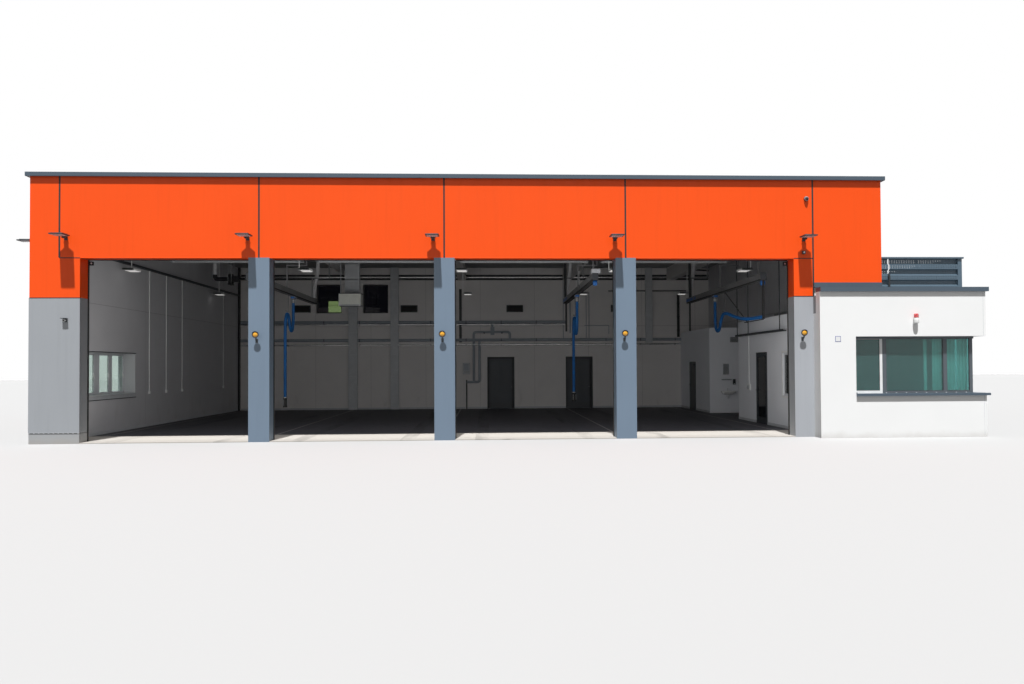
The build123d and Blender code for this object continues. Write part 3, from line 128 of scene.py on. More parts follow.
class Signal:
    """A number that a node gives. Arithmetic on it adds Math nodes."""

    def __init__(self, nodes, socket):
        self.nodes = nodes
        self.socket = socket

    __add__ = __radd__ = sign("ADD")
    __mul__ = __rmul__ = sign("MULTIPLY")
    __sub__ = sign("SUBTRACT")
    __rsub__ = sign("SUBTRACT", True)
    __gt__ = sign("GREATER_THAN")
    __lt__ = sign("LESS_THAN")


class Nodes:
    """A shader's node tree, filled by calls."""

    def __init__(self, tree):
        self.tree = tree

    def link(self, value, target):
        if isinstance(value, Signal):
            value = value.socket
        if isinstance(value, bpy.types.NodeSocket):
            self.tree.links.new(value, target)
        elif target.type == "RGBA" and len(value) == 3:
            target.default_value = (*value, 1)
        else:
            target.default_value = value

    def add(self, kind, settings=None, inputs=None, output=0, colour=False):
        """Add a node of any type. Its settings come first, then its inputs."""
        node = self.tree.nodes.new(kind)
        for name, value in (settings or {}).items():
            setattr(node, name, value)
        for name, value in (inputs or {}).items():
            self.link(value, node.inputs[name])
        socket = node.outputs[output]
        return socket if colour else Signal(self, socket)

    def maths(self, kind, *values):
        """One number from others."""
        return self.add("ShaderNodeMath", {"operation": kind}, dict(enumerate(values)))

    def seen(self):
        """Above 0 for what the camera sees, also by way of gloss or glass."""
        return sum(self.add("ShaderNodeLightPath", output=kind)
                   for kind in ("Is Camera Ray", "Is Glossy Ray", "Is Transmission Ray"))


class Finish(Nodes):
    """A procedural material that reads Object coordinates."""

    def __init__(self, name, colour, roughness, metal=0.0):
        self.material = bpy.data.materials.new(name)
        self.material.use_nodes = True
        self.material.diffuse_color = (*colour, 1)
        super().__init__(self.material.node_tree)
        self.shader = self.tree.nodes["Principled BSDF"]
        self.colour = colour
        self.places = None
        for socket, value in (("Base Color", colour), ("Roughness", roughness), ("Metallic", metal)):
            self.set(socket, value)

    def set(self, name, value):
        """Give one socket of the shader a value or a link."""
        self.link(value, self.shader.inputs[name])

    def place(self):
        """Object coordinates, in metres."""
        if self.places is None:
            self.places = self.add("ShaderNodeTexCoord", output=3, colour=True)
        return self.places

    def axis(self, index):
        """One Object coordinate as a number."""
        return self.add("ShaderNodeSeparateXYZ", None, {0: self.place()}, index)

    def noise(self, scale, detail=2.0, stretch=(1, 1, 1), roughness=0.5):
        """Smooth noise from 0 to 1, with this many features a metre."""
        place = self.place()
        if stretch != (1, 1, 1):
            place = self.add("ShaderNodeMapping", None, {"Vector": place, "Scale": stretch}, colour=True)
        values = {"Vector": place, "Scale": scale, "Detail": detail, "Roughness": roughness}
        return self.add("ShaderNodeTexNoise", None, values)

    def ramp(self, value, low, high):
        """A soft step from 0 to 1 between two values."""
        return self.add("ShaderNodeMapRange", {"interpolation_type": "SMOOTHSTEP"},
                        {"Value": value, "From Min": low, "From Max": high})

    def near(self, value, centre, width):
        """1 where a value is within half a width of the centre, otherwise 0."""
        return self.maths("COMPARE", value, centre, width / 2)

    def repeat(self, value, step, shift=0.0):
        """A value that starts again at 0 after each step."""
        return self.maths("WRAP", value + shift, step, 0.0)

    def wave(self, direction, scale):
        return self.add("ShaderNodeTexWave", {"bands_direction": direction},
                        {"Vector": self.place(), "Scale": scale}, 1)

    def mix(self, factor, first, second):
        """A colour between two colours."""
        return self.add("ShaderNodeMix", {"data_type": "RGBA"}, {0: factor, 6: first, 7: second}, 2, True)

    def drift(self, scale, detail, dark, light):
        """The finish's own colour, darker and lighter in clouds."""
        return self.mix(self.noise(scale, detail), shade(self.colour, dark), shade(self.colour, light))

    def done(self, colour, height, depth, strength, roughness=None):
        """Set the colour, the relief, whose height of 1 stands for the depth in metres, and the roughness."""
        self.set("Base Color", colour)
        self.set("Normal", self.add("ShaderNodeBump", None, {"Height": height, "Distance": depth,
                                                             "Strength": strength}, colour=True))
        if roughness is not None:
            self.set("Roughness", roughness)
        return self.material


def shade(colour, factor):
    """A darker or lighter version of a colour."""
    return tuple(min(1.0, part * factor) for part in colour)


def painted_sheet(name, colour, roughness, streaks, gloss=0.5):
    """Coated sheet metal: slight unevenness, faint rain streaks and a fine orange-peel grain."""
    paint = Finish(name, colour, roughness)
    paint.set("Specular IOR Level", gloss)
    rain = paint.ramp(paint.noise(9, 4, (1, 1, 0.05), 0.6), 0.45, 0.8)
    tone = paint.mix(rain * streaks, paint.drift(0.7, 3, 0.94, 1.05), shade(colour, 0.72))
    return paint.done(tone, paint.noise(1.1, 1) + paint.noise(420, 1) * 0.012, 0.004, 0.35,
                      roughness + paint.noise(3, 3) * 0.12 - 0.06 + rain * 0.1)


def plaster(name, colour, grain=0.0012, foot=0.35):
    """Rendered wall: rubbed grain, faint clouds and a soiled foot."""
    wall = Finish(name, colour, 0.85)
    soil = wall.ramp(wall.axis(2) + wall.noise(3, 3) * 0.2, 0.3, 0.02)
    tone = wall.mix(soil * foot, wall.drift(0.9, 4, 0.965, 1.03), (0.42, 0.38, 0.33))
    return wall.done(tone, wall.noise(260, 3, roughness=0.7), grain, 0.5)


def wall_panels(name, colour, axis, panel):
    """Painted concrete panels inside the hall, with joints up and across the wall, dark over the ceiling."""
    wall = Finish(name, colour, 0.7)
    upright = wall.near(wall.repeat(wall.axis(axis), panel, 0.4), panel / 2, 0.012)
    joints = wall.maths("MAXIMUM", upright, wall.near(wall.axis(2), 3.66, 0.014))
    rubbed = wall.ramp(wall.noise(2.2, 5, (1, 1, 0.5)), 0.56, 0.78) * wall.ramp(wall.axis(2), 1.6, 0.2)
    tone = wall.mix(rubbed * 0.35, wall.drift(1.3, 4, 0.93, 1.04), (0.36, 0.35, 0.34))
    tone = wall.mix(wall.axis(2) > CEILING + 0.05, tone, (0.27, 0.28, 0.29))
    tone = wall.mix(joints * 0.55, tone, shade(colour, 0.35))
    return wall.done(tone, wall.noise(90, 4) * 0.25 - joints, 0.004, 0.5, 0.62 + wall.noise(6, 3) * 0.2)


def screed():
    """Polished grey floor with tyre marks, oil spots and parking lines. Its dark tone inside the hall is
    partly painted shade, and the pale band near the front is painted sunlight where the sun falls in through
    the bays.
    """
    floor = Finish("floor_screed", (0.2, 0.2, 0.21), 0.4)
    floor.set("Specular IOR Level", 0.3)
    along, inward = floor.axis(0), floor.axis(1)
    # Dark screed tone inside the hall, kept this dark partly as painted shade of the hall floor
    base = floor.mix(floor.noise(0.8, 5), (0.05, 0.05, 0.06), (0.085, 0.085, 0.097))
    # Pale band to 2.3-2.5 m behind the facade: painted sunlight of the sun patch
    painted_sun_patch = floor.ramp(inward + floor.noise(5, 3) * 0.06, FACADE + 2.5, FACADE + 2.3)
    base = floor.mix(painted_sun_patch, base, (0.52, 0.49, 0.45))
    wheels = floor.repeat(along, BAY, BAY / 2)
    left, right = (floor.near(wheels, BAY / 2 + side, 0.36) for side in (-0.95, 0.95))
    track = floor.ramp(left + right, 0, 1)
    worn = track * floor.ramp(floor.noise(2, 4, (1, 0.15, 1)), 0.35, 0.75)
    base = floor.mix(worn * 0.4, base, (0.03, 0.03, 0.03))
    oil = floor.ramp(floor.noise(0.9, 3), 0.68, 0.76)
    base = floor.mix(oil * 0.5, base, (0.025, 0.023, 0.02))
    line = floor.near(floor.repeat(along, BAY, 2.39), BAY / 2, 0.05) * (inward > FACADE + 2.4)
    chipped = line * floor.ramp(floor.noise(14, 4), 0.3, 0.42)
    return floor.done(floor.mix(chipped * 0.4, base, (0.62, 0.62, 0.6)), floor.noise(45, 4), 0.0015, 0.4,
                      0.5 + floor.noise(5, 4) * 0.22 + worn * 0.12)


def membrane():
    """Grey roof membrane with welded laps, dust and dried puddles."""
    roof = Finish("roof_membrane", (0.28, 0.29, 0.3), 0.8)
    across = roof.repeat(roof.axis(0), 1.5, 0.2)
    dust = roof.ramp(roof.noise(0.5, 5), 0.4, 0.7)
    tone = roof.mix(dust * 0.6, (0.25, 0.26, 0.27), (0.34, 0.33, 0.31))
    tone = roof.mix(roof.near(roof.noise(0.35, 3), 0.55, 0.02) * 0.2, tone, (0.19, 0.18, 0.165))
    tone = roof.mix(roof.near(across, 0.77, 0.006) * 0.7, tone, (0.1, 0.1, 0.105))
    return roof.done(tone, roof.near(across, 0.75, 0.03) * 0.6 + roof.noise(160, 2) * 0.2, 0.003, 0.7)


def galvanised(name, colour=(0.56, 0.58, 0.6), metal=0.4):
    """Zinc-coated steel with its spangle."""
    zinc = Finish(name, colour, 0.42, metal)
    spangle = zinc.add("ShaderNodeTexVoronoi", None, {"Vector": zinc.place(), "Scale": 38})
    return zinc.done(zinc.mix(spangle * 1.4, shade(colour, 0.8), shade(colour, 1.12)), zinc.noise(150, 2),
                     0.0006, 0.4, 0.34 + spangle * 0.25)


def plain_coat(name, colour, roughness=0.45, metal=0.0, grain=180, depth=0.0006):
    """Small coated or moulded part: a little colour drift and a fine grain."""
    coat = Finish(name, colour, roughness, metal)
    return coat.done(coat.drift(5, 3, 0.88, 1.1), coat.noise(grain, 2), depth, 0.4,
                     roughness + coat.noise(12, 3) * 0.16 - 0.08)


def pane(name, tint):
    """Coated window glass, slightly wavy. The panes of the back wall are nearly black but for one, whose
    green is a painted view of what is seen through it.
    """
    glass = Finish(name, tint, 0.03)
    for socket, value in (("Transmission Weight", 0.92), ("IOR", 1.52), ("Specular IOR Level", 0.3)):
        glass.set(socket, value)
    x, y, z = (glass.axis(k) for k in range(3))
    back = y > BACK
    # Green of the one back pane: a painted view of what is seen through it
    tone = glass.mix(back, glass.drift(0.8, 2, 0.92, 1.06), (0.14, 0.2, 0.08))
    tone = glass.mix(glass.near(x, ROOM_X, 0.6) * (y > HALL_FRONT), tone, (0.05, 0.07, 0.08))
    green_view_pane = glass.near(x, -5.62, 0.56) * (z < 4.8)
    tone = glass.mix(back * (1.0 - green_view_pane), tone, (0.002, 0.002, 0.003))
    return glass.done(tone, glass.noise(1.6, 1), 0.0012, 0.3)


def lens(name, colour, rings=60):
    """Lamp lens with moulded ribs."""
    cover = Finish(name, colour, 0.18)
    cover.set("Coat Weight", 0.6)
    ribs = cover.wave("X", rings)
    return cover.done(cover.mix(ribs, shade(colour, 0.75), shade(colour, 1.1)), ribs, 0.0015, 0.6)


def hose_rubber():
    """Blue hose rubber, dusty in the folds."""
    rubber = Finish("hose_blue", (0.007, 0.085, 0.26), 0.55)
    dust = rubber.ramp(rubber.noise(7, 4), 0.4, 0.75)
    tone = rubber.mix(dust * 0.35, rubber.colour, shade(rubber.colour, 2.2))
    return rubber.done(tone, rubber.noise(300, 2), 0.0006, 0.4, 0.5 + dust * 0.25)


def woven():
    """Closely woven blind fabric."""
    cloth = Finish("blind_cloth", (0.78, 0.86, 0.8), 0.85)
    warp, weft = cloth.wave("X", 160), cloth.wave("Z", 160)
    tone = cloth.mix(warp * weft, shade(cloth.colour, 0.86), shade(cloth.colour, 1.05))
    return cloth.done(tone, warp + weft, 0.0006, 0.5)


def perforated_sheet():
    """Coated screen sheet, punched with two rows of round holes on each flat."""
    sheet = Finish("screen_coat", (0.085, 0.13, 0.17), 0.42)
    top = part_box("roof_screen")[1].z
    across, deep, height = (sheet.axis(k) for k in range(3))
    row = sheet.repeat(height, (top - 0.04 - SHEET_FOOT) / 6, -SHEET_FOOT)
    level = sheet.maths("MINIMUM", *(sheet.maths("ABSOLUTE", row - z) for z in (0.034, 0.082)))
    along = sheet.repeat(across + deep, 0.066) - 0.033
    hole = (along * along + level * level) < 0.011 ** 2
    front = deep < SCREEN_FRONT + 0.069
    skin = sheet.maths("MAXIMUM", front, across > SCREEN_RIGHT - 0.069)
    body = (height > SHEET_FOOT) * (height < top - 0.042)
    slot = sheet.near(across, 11.78, 0.028) * (height > 4.27) * front
    sheet.set("Alpha", 1.0 - sheet.maths("MAXIMUM", hole, slot) * skin * body)
    rain = sheet.ramp(sheet.noise(9, 4, (1, 1, 0.08), 0.6), 0.45, 0.8)
    tone = sheet.mix(rain * 0.2, sheet.drift(0.9, 3, 0.92, 1.08), shade(sheet.colour, 0.6))
    return sheet.done(tone, sheet.noise(380, 1) * 0.03, 0.003, 0.3, 0.4 + rain * 0.15)


def rail_metal():
    """Dull extruded aluminium with drawing lines, black on the post at the front."""
    rail = Finish("rail_metal", (0.17, 0.17, 0.17), 0.42, 0.3)
    lines = rail.noise(30, 3, (1, 0.02, 1))
    post = (rail.axis(2) < 4.205) * (rail.axis(1) < HALL_FRONT + 1.2)
    tone = rail.mix(post, rail.mix(lines, (0.13, 0.13, 0.14), (0.2, 0.2, 0.2)), (0.012, 0.012, 0.013))
    return rail.done(tone, lines, 0.0006, 0.3, 0.36 + lines * 0.16)


def hall_window_coat():
    """Frame coat of the hall windows: grey in the side wall and nearly black in the back wall."""
    coat = Finish("hall_window_coat", (0.64, 0.66, 0.69), 0.42)
    tone = coat.mix(coat.noise(5, 3), (0.6, 0.62, 0.65), (0.68, 0.7, 0.73))
    tone = coat.mix(coat.axis(1) > BACK, tone, (0.012, 0.013, 0.015))
    return coat.done(tone, coat.noise(180, 2), 0.0006, 0.4, 0.36 + coat.noise(12, 3) * 0.14)


def lit_cover():
    """Opal lamp cover with a faint glow."""
    cover = Finish("lit_cover", (0.9, 0.9, 0.88), 0.35)
    cover.set("Emission Color", (1.0, 0.98, 0.94))
    cover.set("Emission Strength", 0.4)
    tone = cover.mix(cover.noise(6, 2), (0.85, 0.85, 0.83), (0.92, 0.92, 0.9))
    return cover.done(tone, cover.noise(120, 2), 0.0004, 0.3)


def ribbed_panel():
    """Sandwich panel of the bay doors: stucco-embossed skin with shallow lines across."""
    skin = Finish("door_panel_skin", (0.72, 0.73, 0.73), 0.5)
    line = skin.near(skin.repeat(skin.axis(1), 0.1), 0.05, 0.008)
    tone = skin.mix(skin.noise(1.5, 3), (0.66, 0.67, 0.68), (0.78, 0.78, 0.78))
    return skin.done(tone, skin.noise(130, 2) * 0.15 - line, 0.003, 0.6, 0.45 + skin.noise(9, 3) * 0.15)


# Finishes by name, filled by the finishes operator
FINISHES = {}


def make_finishes(sizes):
    """Every finish of the building."""
    FINISHES.update({
        "orange sheet": painted_sheet("orange_sheet", tuple(sizes.cladding_colour), 0.42, 0.12, 0.3),
        "grey sheet": painted_sheet("grey_sheet", tuple(sizes.pier_colour), 0.45, 0.18),
        "pillar paint": painted_sheet("pillar_paint", (0.165, 0.225, 0.3), 0.45, 0.14),
        "end pillar paint": painted_sheet("end_pillar_paint", (0.4, 0.42, 0.45), 0.5, 0.14),
        "plinth": plaster("plinth_render", (0.38, 0.39, 0.4), 0.0016, 0.5),
        "coping": painted_sheet("coping_sheet", (0.062, 0.09, 0.12), 0.42, 0.2),
        "white render": plaster("white_render", (0.9, 0.905, 0.9)),
        "inner wall x": wall_panels("inner_wall_x", (0.76, 0.74, 0.73), 0, 2.4),
        "inner wall y": wall_panels("inner_wall_y", (0.54, 0.54, 0.56), 1, 4.6),
        "room wall": plaster("room_wall", (0.82, 0.84, 0.88), 0.0006, 0.2),
        "girder": plaster("girder_concrete", (0.62, 0.61, 0.6), 0.0008, 0.0),
        "screed": screed(),
        "membrane": membrane(),
        "dark frame": plain_coat("dark_frame_coat", (0.03, 0.036, 0.042)),
        "window coat": plain_coat("window_coat", (0.085, 0.1, 0.115), 0.42),
        "hall window coat": hall_window_coat(),
        "bright steel": plain_coat("bright_steel", (0.88, 0.88, 0.88), 0.22, 1.0),
        "lit cover": lit_cover(),
        "grey frame": plain_coat("grey_frame_coat", (0.33, 0.36, 0.4), 0.42),
        "white frame": plain_coat("white_frame_coat", (0.82, 0.83, 0.83), 0.35),
        "dark door": painted_sheet("dark_door_coat", (0.03, 0.038, 0.048), 0.42, 0.1),
        "glass": pane("window_pane", (0.62, 0.76, 0.7)),
        "teal glass": pane("annex_pane", (0.24, 0.57, 0.55)),
        "blind cloth": woven(),
        "screen": perforated_sheet(),
        "screen trim": painted_sheet("screen_trim_coat", (0.085, 0.13, 0.17), 0.42, 0.2),
        "blue enamel": plain_coat("blue_enamel", (0.02, 0.04, 0.3), 0.25, 0, 4, 0.0003),
        "blue plastic": plain_coat("blue_plastic", (0.01, 0.1, 0.33)),
        "hose": hose_rubber(),
        "door panel": ribbed_panel(),
        "zinc": galvanised("zinc_coat"),
        "aluminium": rail_metal(),
        "foil": galvanised("foil_duct", (0.75, 0.75, 0.76), 0.3),
        "black plastic": plain_coat("black_plastic", (0.015, 0.016, 0.018)),
        "rubber": plain_coat("black_rubber", (0.02, 0.02, 0.02), 0.8, 0, 260, 0.001),
        "white plastic": plain_coat("white_plastic", (0.83, 0.84, 0.83), 0.4),
        "light grey coat": plain_coat("light_grey_coat", (0.52, 0.54, 0.56)),
        "heater coat": plain_coat("heater_coat", (0.88, 0.9, 0.82), 0.4),
        "amber lens": lens("amber_lens", (0.9, 0.42, 0.01)),
        "red lens": lens("red_lens", (0.7, 0.02, 0.03)),
        "lamp lens": lens("lamp_lens", (0.86, 0.88, 0.9), 30),
        "ceramic": plain_coat("ceramic", (0.86, 0.87, 0.86), 0.12, 0, 3, 0.0004),
        "mirror": plain_coat("mirror_glass", (0.8, 0.84, 0.85), 0.06, 1.0, 2, 0.0002),
        "brushed steel": galvanised("brushed_steel", (0.62, 0.63, 0.64)),
    })


# CAD nodes that keep their shape, by finish
NODE_FINISHES = {
    "screed": "floor",
    "inner wall y": "left_wall right_wall right_wall_upper",
    "inner wall x": "back_wall_left back_wall_middle back_wall_right back_wall_heads front_lintel"
                    " corner_pier",
    "room wall": "partition_front partition_rear partition_head room_ceilings rear_room_front_wall"
                 " rear_room_side_wall",
    "white render": "annex_front_wall annex_side_wall annex_back_wall",
    "pillar paint": "bay_pillars", "end pillar paint": "end_pillar", "plinth": "pier_plinth",
    "girder": "roof_girders", "membrane": "roof_deck annex_roof", "screen": "roof_screen",
    "coping": "roof_coping annex_coping corner_window_sill",
    "orange sheet": "orange_cladding", "grey sheet": "grey_cladding",
    "hall window coat": "window_frames", "window coat": "corner_window_frame",
    "white frame": "corner_window_sash", "glass": "window_glass partition_door_glass",
    "teal glass": "corner_window_glass", "blind cloth": "window_blinds", "dark frame": "door_frames",
    "dark door": "partition_door rear_room_door back_door_left back_door_right",
    "door panel": "sectional_doors", "zinc": "door_tracks wall_pipes", "aluminium": "exhaust_rails",
    "black plastic": "floodlights warning_beacons wall_fittings signal_boxes",
    "white plastic": "alarm_lamp ceiling_lights", "light grey coat": "heater_and_ducts",
    "rubber": "left_hose_nozzle middle_hose_nozzle", "ceramic": "washbasin",
}


# Mesh building


class Mould:
    """Faces of one piece, in metres, each with the finish that was last chosen."""

    def __init__(self):
        self.mesh = bmesh.new()
        self.names = []
        self.index = 0
        self.at = Matrix.Identity(4)

    def move(self, x=0.0, y=0.0, z=0.0, turn=0.0):
        """Put the faces that follow at a place, turned about Z by degrees."""
        self.at = Matrix.Translation((x, y, z)) @ Matrix.Rotation(math.radians(turn), 4, "Z")
        return self

    def use(self, finish):
        """Choose the finish of the faces that follow."""
        if finish not in self.names:
            self.names.append(finish)
        self.index = self.names.index(finish)
        return self

    def skin(self, points, faces):
        corners = [self.mesh.verts.new(self.at @ Vector(point)) for point in points]
        for face in faces:
            made = self.mesh.faces.new([corners[i] for i in face])
            made.material_index = self.index
        return self

    def box(self, x0, x1, y0, y1, z0, z1):
        points = [(x, y, z) for z in (z0, z1) for y in (y0, y1) for x in (x0, x1)]
        faces = [(0, 2, 3, 1), (4, 5, 7, 6), (0, 1, 5, 4), (1, 3, 7, 5), (3, 2, 6, 7), (2, 0, 4, 6)]
        return self.skin(points, faces)

    def boxes(self, *rows):
        for row in rows:
            self.box(*row)
        return self

    def pair(self, inner, outer, *rest):
        """Two boxes that mirror each other along X."""
        for side in (-1, 1):
            self.box(*sorted((side * inner, side * outer)), *rest)
        return self

    def rings(self, points, sides):
        """Rings of as many points each, joined to a closed body with flat ends."""
        count = len(points)
        faces = [tuple(range(sides - 1, -1, -1)), tuple(range(count - sides, count))]
        for start in range(0, count - sides, sides):
            for k in range(sides):
                n = (k + 1) % sides
                faces.append((start + k, start + n, start + sides + n, start + sides + k))
        return self.skin(points, faces)

    def prism(self, outline, origin, across, up, length):
        """An outline in two directions, drawn out along the third."""
        across, up = Vector(across), Vector(up)
        near = [Vector(origin) + across * a + up * b for a, b in outline]
        far = [point + across.cross(up) * length for point in near]
        return self.rings(near + far, len(near))

    def turned(self, profile, origin, axis, sides=24):
        """A closed profile of (distance along the axis, radius) turned round the axis."""
        axis = Vector(axis).normalized()
        side = axis.orthogonal().normalized()
        points = []
        for along, radius in profile:
            points += circle(Vector(origin) + axis * along, side, axis, radius, sides)
        return self.rings(points, sides)

    def disc(self, radius, thick, origin, axis, sides=16):
        return self.turned([(0, radius), (thick, radius)], origin, axis, sides)

    def swept(self, path, radius, sides):
        """A round body along a path. Its radius comes from a function of the step."""
        points = []
        side = None
        for i, point in enumerate(path):
            axis = (path[min(i + 1, len(path) - 1)] - path[max(i - 1, 0)]).normalized()
            side = side or axis.orthogonal().normalized()
            side = (side - axis * side.dot(axis)).normalized()
            points += circle(point, side, axis, radius(i), sides)
        return self.rings(points, sides)

    def tube(self, points, radius, sides=10, bend=0.0):
        """A round pipe along straight runs, with bends of this radius at the corners."""
        path = rounded(points, bend) if bend else [Vector(point) for point in points]
        return self.swept(path, lambda i: radius, sides)

    def ribbed(self, path, inner, outer, period, sides=14):
        """A tube along even steps, whose radius swells once in each period of steps."""
        half = (outer - inner) / 2
        return self.swept(path, lambda i: inner + half * (1 - math.cos(math.tau * i / period)), sides)

    def piece(self, name, body="building", edge=0.0, segments=2, instead=()):
        """Turn the faces into a finished piece that rides on a body, or takes the place of frame nodes."""
        data = bpy.data.meshes.new(name)
        bmesh.ops.recalc_face_normals(self.mesh, faces=self.mesh.faces)
        self.mesh.to_mesh(data)
        self.mesh.free()
        for finish in self.names:
            data.materials.append(FINISHES[finish])
        made = link_new(name, data)
        if edge:
            bevel = made.modifiers.new("rounded edges", "BEVEL")
            bevel.width = edge
            bevel.segments = segments
            bevel.limit_method = "ANGLE"
            bevel.angle_limit = math.radians(40)
            settle(made)
        smooth(made)
        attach(made, body)
        if instead:
            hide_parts(*instead)
        return made


def link_new(name, data):
    """A new object in the scene."""
    made = bpy.data.objects.new(name, data)
    bpy.context.scene.collection.objects.link(made)
    return made


def circle(centre, side, axis, radius, sides):
    """Points of a ring round an axis, from one side on."""
    other = axis.cross(side)
    turns = [math.tau * k / sides for k in range(sides)]
    return [centre + (side * math.cos(turn) + other * math.sin(turn)) * radius for turn in turns]


def on_wall(y, *places):
    """Points at one depth from pairs of X and Z."""
    return [(x, y, z) for x, z in places]


def rounded(points, radius, steps=6):
    """Straight runs with an arc at each corner."""
    corners = [Vector(point) for point in points]
    path = [corners[0]]
    for before, corner, after in zip(corners, corners[1:], corners[2:]):
        into = (corner - before).normalized()
        out = (after - corner).normalized()
        half = into.angle(out) / 2
        if half < 0.01:
            path.append(corner)
            continue
        cut = min(radius * math.tan(half), (corner - before).length * 0.5, (after - corner).length * 0.5)
        start = corner - into * cut
        end = corner + out * cut
        for k in range(steps + 1):
            t = k / steps
            path.append(start.lerp(corner, t).lerp(corner.lerp(end, t), t))
    path.append(corners[-1])
    return path


def settle(piece):
    """Replace a piece's mesh by the result of its modifiers."""
    bpy.context.view_layer.update()
    graph = bpy.context.evaluated_depsgraph_get()
    result = bpy.data.meshes.new_from_object(piece.evaluated_get(graph), depsgraph=graph)
    piece.modifiers.clear()
    old = piece.data
    piece.data = result
    bpy.data.meshes.remove(old)


def smooth(piece):
    """Soft shading with crisp edges."""
    piece.data.shade_smooth()
    piece.data.set_sharp_from_angle(angle=math.radians(35))


# Repeats by Geometry Nodes


def row_tree():
    """Node tree that sets copies of a part out in a row."""
    tree = bpy.data.node_groups.new("Row of parts", "GeometryNodeTree")
    face = tree.interface
    face.new_socket("Geometry", in_out="OUTPUT", socket_type="NodeSocketGeometry")
    for label, kind in (("Part", "Object"), ("Count", "Int"), ("Start", "Vector"), ("Step", "Vector"),
                        ("Finish", "Material")):
        face.new_socket(label, in_out="INPUT", socket_type="NodeSocket" + kind)
    put = tree.nodes.new
    link = tree.links.new
    given = put("NodeGroupInput").outputs
    row = put("GeometryNodeMeshLine")
    part = put("GeometryNodeObjectInfo")
    placed = put("GeometryNodeInstanceOnPoints")
    real = put("GeometryNodeRealizeInstances")
    finish = put("GeometryNodeSetMaterial")
    link(given["Count"], row.inputs["Count"])
    link(given["Start"], row.inputs["Start Location"])
    link(given["Step"], row.inputs["Offset"])
    link(given["Part"], part.inputs["Object"])
    link(row.outputs["Mesh"], placed.inputs["Points"])
    link(part.outputs["Geometry"], placed.inputs["Instance"])
    link(placed.outputs["Instances"], real.inputs["Geometry"])
    link(real.outputs["Geometry"], finish.inputs["Geometry"])
    link(given["Finish"], finish.inputs["Material"])
    link(finish.outputs["Geometry"], put("NodeGroupOutput").inputs[0])
    return tree


def lay_out(name, part, finish, start, count, step):
    """A piece made of copies of a part in a row."""
    tree = bpy.data.node_groups.get("Row of parts") or row_tree()
    shape = bpy.data.meshes.new(name + "_part")
    bmesh.ops.recalc_face_normals(part.mesh, faces=part.mesh.faces)
    part.mesh.to_mesh(shape)
    part.mesh.free()
    pattern = link_new(name + "_part", shape)
    made = link_new(name, bpy.data.meshes.new(name))
    repeat = made.modifiers.new("repeat", "NODES")
    repeat.node_group = tree
    values = {"Part": pattern, "Count": count, "Start": start, "Step": step, "Finish": FINISHES[finish]}
    for item in tree.interface.items_tree:
        if item.in_out == "INPUT":
            repeat[item.identifier] = values[item.name]
    settle(made)
    bpy.data.objects.remove(pattern)
    bpy.data.meshes.remove(shape)
    smooth(made)
    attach(made, "building")


# Properties


class StationColours(bpy.types.PropertyGroup):
    """Colours that a user may change."""

    cladding_colour: bpy.props.FloatVectorProperty(
        name="Cladding", description="Colour of the fascia cassettes", default=(1.0, 0.09, 0.004),
        subtype="COLOR", size=3, min=0, max=1)
    pier_colour: bpy.props.FloatVectorProperty(
        name="Pier", description="Colour of the grey cassettes", default=(0.345, 0.365, 0.39),
        subtype="COLOR", size=3, min=0, max=1)


class StationSizes(bpy.types.PropertyGroup):
    """Sizes of added details."""

    joint_width: bpy.props.FloatProperty(
        name="Joint", description="Width of the joints between cassettes", default=0.042, unit="LENGTH")
    slat_width: bpy.props.FloatProperty(
        name="Blind slat", description="Width of one vertical blind slat", default=0.089, unit="LENGTH")


# Operators


